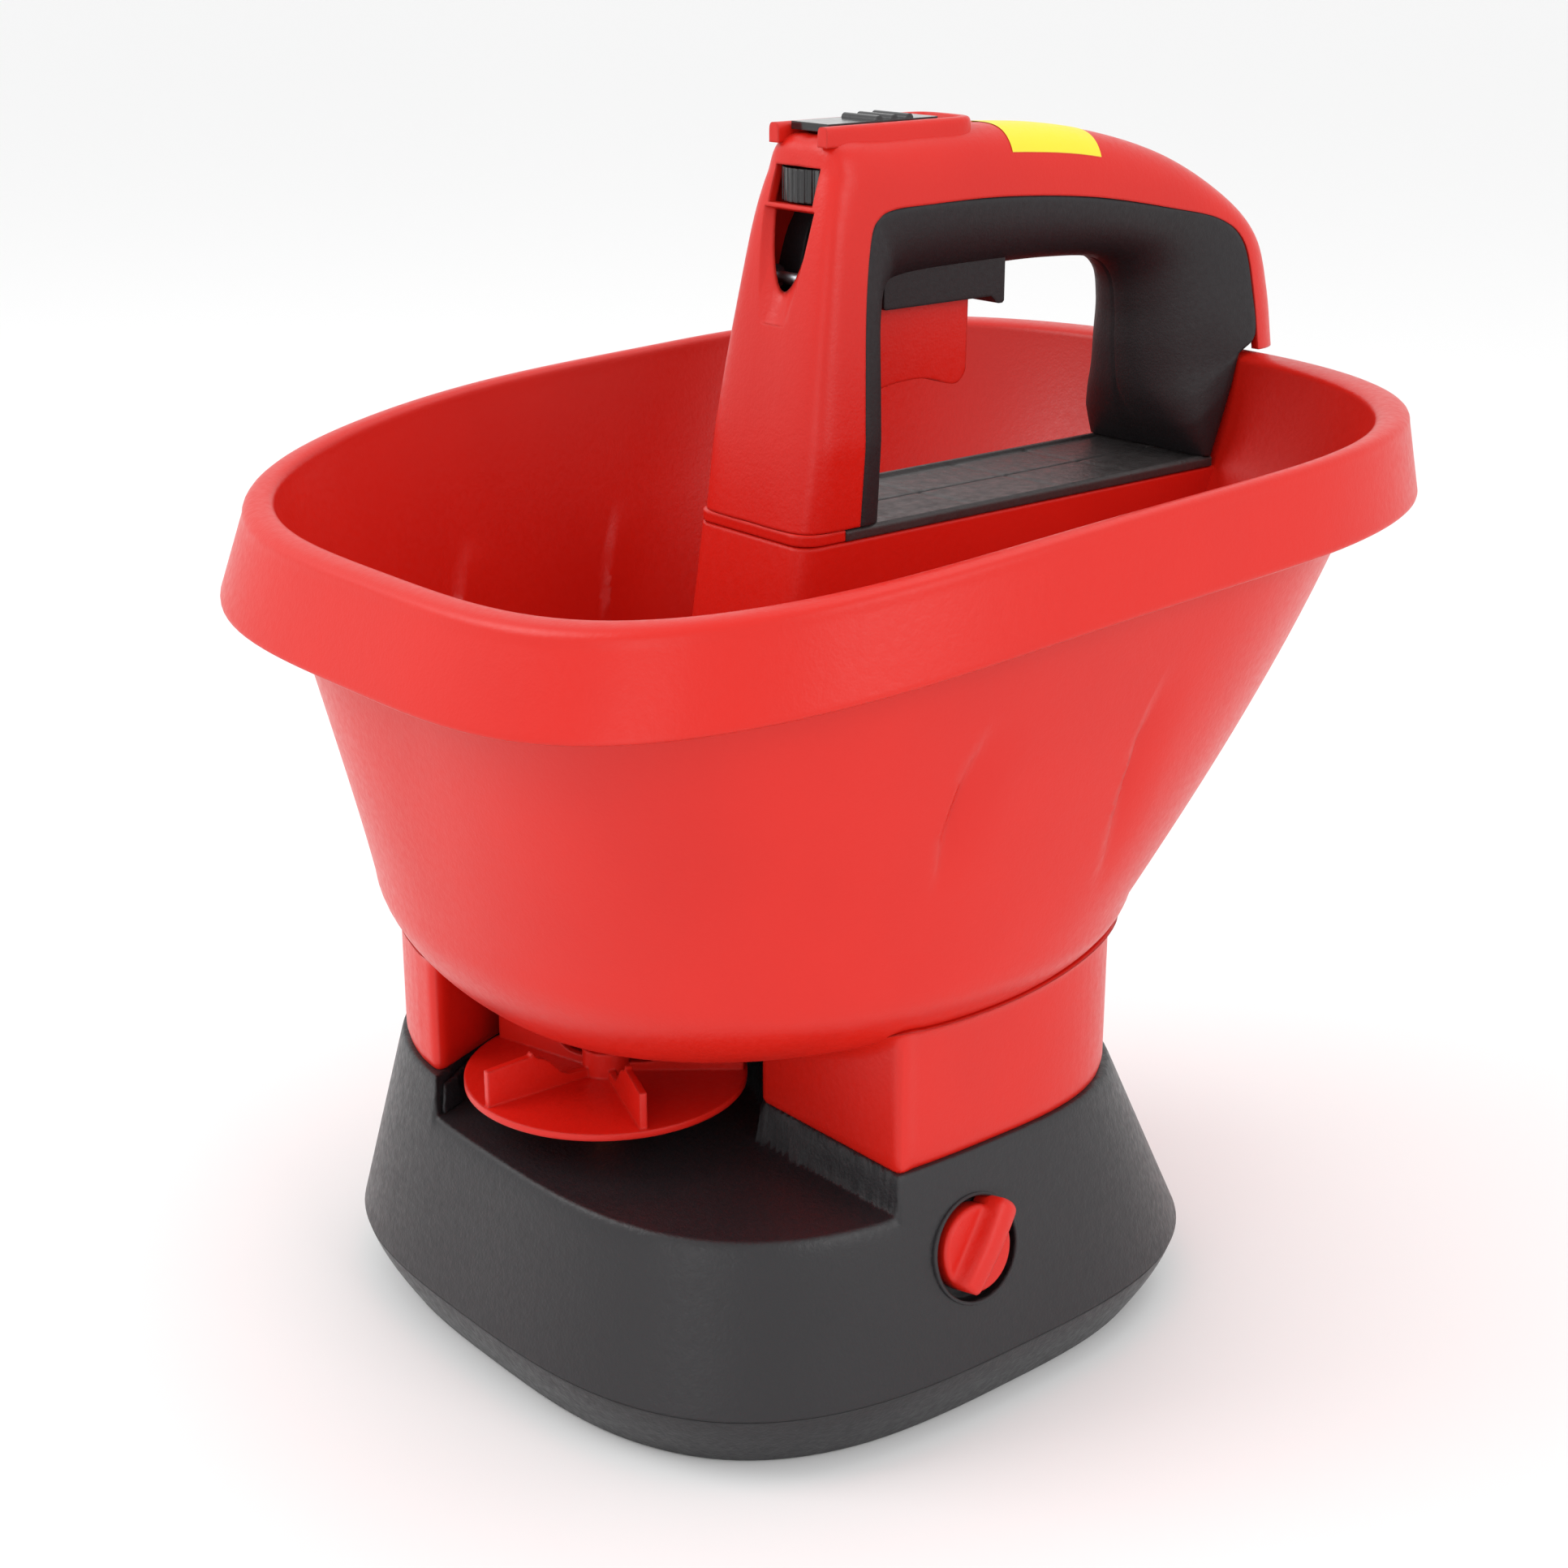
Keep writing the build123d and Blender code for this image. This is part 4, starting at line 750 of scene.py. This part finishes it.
def arch(rows, half_cut, depth_cut, count):
    """Half superellipse from one side edge over the outside to the other: x = w |cos|^(2/n), depth = |sin|^(2/m)."""
    outer, edge = rows[:, 0:2], rows[:, 2:4]
    phi = np.linspace(0, np.pi, count)
    c, s = np.cos(phi)[None], np.sin(phi)[None]
    depth = np.linalg.norm(outer - edge, axis=1)[:, None]
    share = np.abs(s) ** (2 / rows[:, 5:6]) * (1 - depth_cut / depth)
    plan = edge[:, None] + (outer - edge)[:, None] * share[..., None]
    half = handle_half(plan[..., 1]) - half_cut
    x = np.sign(c) * np.abs(c) ** (2 / rows[:, 4:5]) * half
    return np.dstack([x, plan])


def handle_shell():
    """Outer arch and inner arch 2.5 mm inside it, carried over tower, spine and rear column as one closed section."""
    rows = through(SHELL_PAIRS, 210)
    outer = arch(rows, 0.0, 0.0, 97)
    seam = 0.3 * np.exp(-(outer[..., 0] / 0.35) ** 2)
    toward = rows[:, 2:4] - rows[:, 0:2]
    toward = toward / np.linalg.norm(toward, axis=1)[:, None]
    outer[..., 1:] += toward[:, None] * seam[..., None]
    inner = arch(rows, WALL, WALL, 41)[:, ::-1]
    piece = grid_piece("handle_shell", np.concatenate([outer, inner], 1), "red_body",
                       nodes=("handle_right", "handle_left"))
    close_ends(piece)
    scallop = tube_cutter((0, -7.2, 259.5), (0, 2.6, 285.4), 10.8)
    screw_wells = [tube_cutter((-30, y, z), (-14.5, y, z), 3.2, 32) for y, z in HANDLE_SCREWS]
    wheel_window = box_cutter((-8.3, -10, 284.5), (8.3, 20.2, 293.5))
    slide_track = box_cutter((-7.3, 5, 301.6), (7.3, 57.3, 310))
    slide_slot = box_cutter((-3, 16, 297), (3, 52, 303))
    return carve(piece, *screw_wells, wheel_window, scallop, slide_track, slide_slot)


def close_ends(piece):
    """Fill the two open ends of a channel with triangles between its outer and inner arch."""
    work = bmesh.new()
    work.from_mesh(piece.data)
    open_edges = [edge for edge in work.edges if edge.is_boundary]
    bmesh.ops.triangle_fill(work, edges=open_edges, use_beauty=True)
    bmesh.ops.recalc_face_normals(work, faces=work.faces)
    work.to_mesh(piece.data)
    work.free()


def drum_faces(columns):
    """Faces of a drum: a band of quads between two rings, and the rings as its ends."""
    ends = [list(range(columns))[::-1], list(range(columns, 2 * columns))]
    return quads(2, columns, wrap_cols=True).tolist() + ends


def tube_cutter(start, end, radius, columns=72):
    """Closed cylinder between two points, used only to cut."""
    start, end = np.array(start, float), np.array(end, float)
    axis = (end - start) / np.linalg.norm(end - start)
    side = np.cross(axis, (1.0, 0, 0))
    side /= np.linalg.norm(side)
    other = np.cross(axis, side)
    turn = np.linspace(0, 2 * np.pi, columns, endpoint=False)
    ring = radius * (np.multiply.outer(np.cos(turn), side) + np.multiply.outer(np.sin(turn), other))
    verts = np.vstack([start + ring, end + ring])
    return cutter_object(verts, drum_faces(columns))


def slide_frame():
    """Raised guide round the top slide: a rounded strip carried along each side and round the rear end."""
    turn = np.linspace(-np.pi / 2, np.pi / 2, 21)[1:-1]
    half, front, bend = 9.1, 10.2, 52.0
    rear = np.column_stack([-half * np.sign(turn) * np.abs(np.sin(turn)) ** 0.5, bend + 7.6 * np.cos(turn) ** 0.5])
    path = np.vstack([np.column_stack([np.full(24, half), np.linspace(front, bend, 24)]), rear,
                      np.column_stack([np.full(24, -half), np.linspace(bend, front, 24)])])
    tangent = np.gradient(path, axis=0)
    tangent /= np.linalg.norm(tangent, axis=1)[:, None]
    normal = np.stack([-tangent[:, 1], tangent[:, 0]], -1)
    phi = np.linspace(0, np.pi, 15)
    thick = 1.75
    across = thick * np.sign(np.cos(phi)) * np.abs(np.cos(phi)) ** 0.6
    up = 300.4 + 2.95 * np.sin(phi) ** 0.6
    across, up = np.append(across, [-thick, thick]), np.append(up, [298.5, 298.5])
    plan = path[:, None] + normal[:, None] * across[None, :, None]
    grid = np.dstack([plan, np.broadcast_to(up, (len(path), len(up)))])
    return grid_piece("slide_frame", grid, "red_body", cap=True)


def tower_collar():
    """Foot of the tower: the island's rounded front carried up in a thin collar, with a fine line below it."""
    turn = np.linspace(0, np.pi / 2, 9)
    rows = []
    for z, edge in ((204.5, 0.35), (204.7, 0.0), (207.2, 0.0), (207.4, 0.25)):
        front, side, radius = -6.0 + edge, ISLAND_HALF - 0.1 - edge, 6.0
        arc = np.stack([side - radius + radius * np.sin(turn), front + radius - radius * np.cos(turn)], -1)
        right = np.vstack([arc, np.column_stack([np.full(4, side), np.linspace(front + radius, 7.4, 5)[1:]])])
        plan = np.vstack([right, right[::-1] * [-1, 1]])
        rows.append(np.column_stack([plan, np.full(len(plan), z)]))
    return grid_piece("tower_collar", np.array(rows), "red_body", cap=True, nodes=("tower_foot",))


def spine_label():
    """Blank sticker: a patch of the handle's outer arch, moved 0.15 mm outwards, and its back 0.1 mm inwards."""
    rows = through(SHELL_PAIRS, 420)
    rows = rows[(rows[:, 0] > 69.0) & (rows[:, 0] < 103.0)]
    full = arch(rows, 0.0, 0.0, 181)[:, 25:92]
    inner_edge = np.broadcast_to(rows[:, None, 2:4], (*full.shape[:2], 2))
    away = full - np.dstack([np.zeros(full.shape[:2]), inner_edge])
    away /= np.linalg.norm(away, axis=2)[..., None]
    loop = np.concatenate([full + 0.15 * away, (full - 0.1 * away)[:, ::-1]], 1)
    return grid_piece("spine_label", loop, "sticker", nodes=("label",))


def trigger_surround():
    """Black frame under the grip that the trigger moves in, with a hooked lip at its rear end."""
    side = np.array([(31, 268), (31, 258.1), (31.6, 257.5), (68.4, 257.5), (70.2, 255.8), (71.0, 255.4),
                     (72.4, 255.4), (73, 256.0), (73, 268)])
    count = len(side)
    verts = np.vstack([np.column_stack([np.full(count, x), side]) for x in (-9.0, 9.0)])
    faces = [list(range(count)), list(range(2 * count - 1, count - 1, -1))]
    faces += [[i, i + count, (i + 1) % count + count, (i + 1) % count] for i in range(count)]
    piece = add_piece("trigger_surround", verts, faces, "soft_grip", nodes=("trigger_bezel",))
    return carve(piece, box_cutter((-6.6, 28, 250), (6.6, 65.5, 270)))


# ---- base ----
NOTCH_FAN = np.array([(0, -31), (160, -31), (160, -160), (-8, -160), (-29, -88), (-46, -46)], float)


def notch_distance(x, y):
    """Signed distance to the throwing notch in plan, negative inside: the lesser of a circle's and a polygon's."""
    circle = np.hypot(x, y - DISC_Y) - NOTCH_R
    near = np.full(x.shape, 1e9)
    inside = np.zeros(x.shape, bool)
    for (ax, ay), (bx, by) in zip(NOTCH_FAN, np.roll(NOTCH_FAN, -1, 0)):
        t = np.clip(((x - ax) * (bx - ax) + (y - ay) * (by - ay)) / ((bx - ax) ** 2 + (by - ay) ** 2), 0, 1)
        near = np.minimum(near, np.hypot(x - ax - t * (bx - ax), y - ay - t * (by - ay)))
        crosses = (ay > y) != (by > y)
        with np.errstate(divide="ignore", invalid="ignore"):
            inside ^= crosses & (x < (bx - ax) * (y - ay) / (by - ay) + ax)
    return np.minimum(circle, np.where(inside, -near, near))


def wall_height(x, y):
    """Height at which the base's tapering outline passes over each plan point, by halving."""
    low, high = np.full(x.shape, TRAY_TOP - 0.1), np.full(x.shape, 150.0)
    for _ in range(26):
        z = (low + high) / 2
        side, rear = SIDE_DRAFT * (z - TRAY_TOP), REAR_DRAFT * (z - TRAY_TOP)
        reach = np.maximum(BASE_DEPTH - np.where(y < 0, side, rear), 1.0)
        size = (np.abs(x) / (BASE_HALF - side)) ** BASE_POWER + (np.abs(y) / reach) ** BASE_POWER
        low, high = np.where(size < 1, z, low), np.where(size < 1, high, z)
    return (low + high) / 2


def soft_min(a, b, k):
    """Lesser of two heights with the corner between them rounded over a width k."""
    h = np.clip(0.5 + 0.5 * (b - a) / k, 0, 1)
    return b * (1 - h) + a * h - k * h * (1 - h)


def base_surface(x, y):
    """Height over plan: the softened lesser of the tapering wall and the stepped top."""
    gap = notch_distance(x, y) + 1.0
    step = np.clip(gap / 1.6 + 0.5, 0, 1)
    step = step * step * (3 - 2 * step)
    foot = 0.9 * np.exp(-np.clip(-gap, 0, 50) / 1.6)
    top = NOTCH_FLOOR + foot * (1 - step) + (BASE_TOP - NOTCH_FLOOR - 0.02) * step
    return soft_min(wall_height(x, y), top, 1.4 + 5.0 * (1 - step))


def base_housing():
    """Outer skin and inner skin over the same plan, joined along the lower edge, then cut for knob and battery."""
    angle = np.unique(np.round(np.mod(np.concatenate([
        np.linspace(0, 2 * np.pi, 250, endpoint=False), np.radians(np.arange(-32, -12, 0.45)),
        np.radians(np.arange(236, 262, 0.45))]), 2 * np.pi), 6))
    ring = np.array([BASE_HALF, -BASE_DEPTH, BASE_DEPTH, 0.0, BASE_POWER, BASE_POWER])
    x, y = egg(ring, angle)
    reach = np.hypot(x, y)
    insets = np.concatenate([np.linspace(0, 9.0, 15)[:-1], np.linspace(9.0, 15.0, 18)[:-1],
                             np.linspace(15.0, 40.0, 20)[:-1]])
    share = np.vstack([1 - insets[:, None] / reach[None],
                       np.linspace(1, 0, 34)[:, None] * (1 - 40.0 / reach[None])])
    plan_x, plan_y = x * share, y * share
    top = base_surface(plan_x, plan_y)
    top[0] = TRAY_TOP
    outer = np.dstack([plan_x, plan_y, top])
    narrower = 1 - WALL / reach[None]
    inner_top = top - WALL * np.clip((top - TRAY_TOP) / 25.0, 0, 1)
    inner = np.dstack([plan_x * narrower, plan_y * narrower, inner_top])[::-1]
    piece = grid_piece("base_housing", np.concatenate([outer, inner]), "charcoal", wrap_rows=True,
                       nodes=("base_shell",))
    battery_opening = box_cutter((-39.8, 55, 10), (39.8, 120, 53.8))
    return carve(piece, battery_opening, knob_cutter())


KNOB_Y, KNOB_Z, KNOB_R, WELL_R = -11.2, 44.4, 10.9, 13.0
KNOB_TILT = math.atan(SIDE_DRAFT)
KNOB_INSET = SIDE_DRAFT * (KNOB_Z - TRAY_TOP)            # how far the wall has leaned in at the knob's height
KNOB_PLACE = np.array([BASE_HALF - KNOB_INSET, KNOB_Y, KNOB_Z])
KNOB_PLACE[0] *= (1 - (abs(KNOB_Y) / (BASE_DEPTH - KNOB_INSET)) ** BASE_POWER) ** (1 / BASE_POWER)
KNOB_OUT = np.array([math.cos(KNOB_TILT), 0, math.sin(KNOB_TILT)])
KNOB_UP = np.array([-math.sin(KNOB_TILT), 0, math.cos(KNOB_TILT)])
KNOB_SIDE = np.array([0.0, 1.0, 0.0])
REST_TURN = 47.0                                         # degrees the knob's bar stands above level at rest


def on_knob(a, b, out):
    """Points from the knob's own plane: a towards +Y, b upwards along the wall, out along the axis."""
    on_wall = np.multiply.outer(a, KNOB_SIDE) + np.multiply.outer(b, KNOB_UP)
    return KNOB_PLACE + on_wall + np.multiply.outer(out, KNOB_OUT)


def turned_on_knob(profile, columns=64):
    """Profile of (radius, height) turned round the knob's axis."""
    turn = np.linspace(0, 2 * np.pi, columns, endpoint=False)
    r, h = np.array(profile, float).T
    return on_knob(r[:, None] * np.cos(turn), r[:, None] * np.sin(turn), h[:, None] + 0 * turn[None])


def knob_cutter():
    """Drum along the knob's axis that opens the wall for the well."""
    grid = turned_on_knob([(WELL_R, -12.0), (WELL_R, 9.0)])
    return cutter_object(grid.reshape(-1, 3), drum_faces(grid.shape[1]))


def knob_well():
    """Cup behind the knob, turned round the knob's axis, with a rolled lip just proud of the wall."""
    profile = [(WELL_R, -4.5), (WELL_R, 0.1), (WELL_R + 0.15, 0.45), (WELL_R + 0.5, 0.55), (WELL_R + 0.85, 0.4),
               (WELL_R + 1.0, 0.0), (WELL_R + 1.0, -6.5), (3.2, -6.5), (3.2, -4.5)]
    return grid_piece("knob_well", turned_on_knob(profile), "charcoal", wrap_rows=True)


def knob():
    """Round cap with a broad raised bar: height over plan, the bar ending in a pointer past the cap's edge."""
    turn = np.linspace(0, 2 * np.pi, 120, endpoint=False)
    share = np.concatenate([np.linspace(0, 0.9, 26), np.linspace(0.92, 1.0, 7)])
    pointer = np.clip(1 - (np.abs(KNOB_R * np.sin(turn)) / 3.9) ** 6, 0, 1) * (np.cos(turn) > 0)
    edge_r = KNOB_R + 2.6 * pointer
    along = share[:, None] * edge_r * np.cos(turn)
    across = share[:, None] * edge_r * np.sin(turn)
    bar = 1 / (1 + np.exp((np.abs(across) - 3.35 - 0.03 * along) / 0.22))
    crown = 1 - 0.18 * (across / 3.5) ** 2
    roll = 0.9 * np.clip((share[:, None] - 0.9) / 0.1, 0, 1) ** 2
    height = 1.1 - roll + bar * (5.0 * crown - 0.6 * (along / 11) ** 2)
    low = np.array([[0.0], [-2.0], [-3.8]])              # straight side under the cap's edge
    along = np.vstack([along, np.tile(edge_r * np.cos(turn), (3, 1))])
    across = np.vstack([across, np.tile(edge_r * np.sin(turn), (3, 1))])
    height = np.vstack([height, low + 0 * turn[None]])
    angle = math.radians(REST_TURN)
    a = along * math.cos(angle) - across * math.sin(angle)
    b = along * math.sin(angle) + across * math.cos(angle)
    return grid_piece("width_knob_cap", on_knob(a, b, height), "red_body", cap=True, body="knob",
                      nodes=("width_knob",))


grip()
shelf()
handle_shell()
slide_frame()
tower_collar()
spine_label()
trigger_surround()
base_housing()
knob_well()
knob()


# ---- floor, lights and camera ----
def stage_material(name, tone, rough):
    """Plain surface for the studio only."""
    material = bpy.data.materials.new(name)
    material.use_nodes = True
    shader = material.node_tree.nodes["Principled BSDF"]
    shader.inputs["Base Color"].default_value = (*tone, 1)
    shader.inputs["Roughness"].default_value = rough
    return material


def studio():
    """Wide pale floor, a bright even world, and four soft area lights."""
    mesh = bpy.data.meshes.new("studio_floor")
    corners = [(-40, -40), (40, -40), (40, 40), (-40, 40)]
    mesh.from_pydata([(x, y, -0.0005) for x, y in corners], [], [(0, 1, 2, 3)])
    floor = bpy.data.objects.new("studio_floor", mesh)
    bpy.context.scene.collection.objects.link(floor)
    mesh.materials.append(stage_material("studio_floor", (0.92, 0.92, 0.92), 0.7))
    world = bpy.data.worlds.new("studio_world")
    world.use_nodes = True
    background = world.node_tree.nodes["Background"]
    background.inputs["Color"].default_value = (1, 1, 1, 1)
    background.inputs["Strength"].default_value = 1.0
    bpy.context.scene.world = world
    for name, place, aim, size, power in (
            ("key", (-0.75, -0.95, 1.15), (0, 0, 0.15), 0.8, 7.0),
            ("right", (1.35, 0.15, 0.75), (0, 0, 0.15), 0.8, 4.0),
            ("front", (0.55, -1.3, 0.35), (0, 0, 0.12), 0.6, 1.5),
            ("top", (0.1, 0.5, 1.5), (0, 0, 0.2), 0.9, 2.5)):
        data = bpy.data.lights.new(name, "AREA")
        data.shape = "SQUARE"
        data.size = size
        data.energy = power
        light = bpy.data.objects.new(name, data)
        bpy.context.scene.collection.objects.link(light)
        light.location = place
        light.rotation_euler = (Vector(aim) - Vector(place)).to_track_quat("-Z", "Y").to_euler()


def camera():
    """Three-quarter view from the front right, a little above the rim."""
    data = bpy.data.cameras.new("view")
    data.lens = 58.75
    data.sensor_width = 36.0
    cam = bpy.data.objects.new("view", data)
    bpy.context.scene.collection.objects.link(cam)
    place, aim = Vector((0.48597, -0.40045, 0.35956)), Vector((0, 0.00588, 0.13524))
    cam.location = place
    cam.rotation_euler = (aim - place).to_track_quat("-Z", "Y").to_euler()
    bpy.context.scene.camera = cam


studio()
camera()
bpy.context.scene.view_settings.view_transform = "Standard"
bpy.context.view_layer.update()
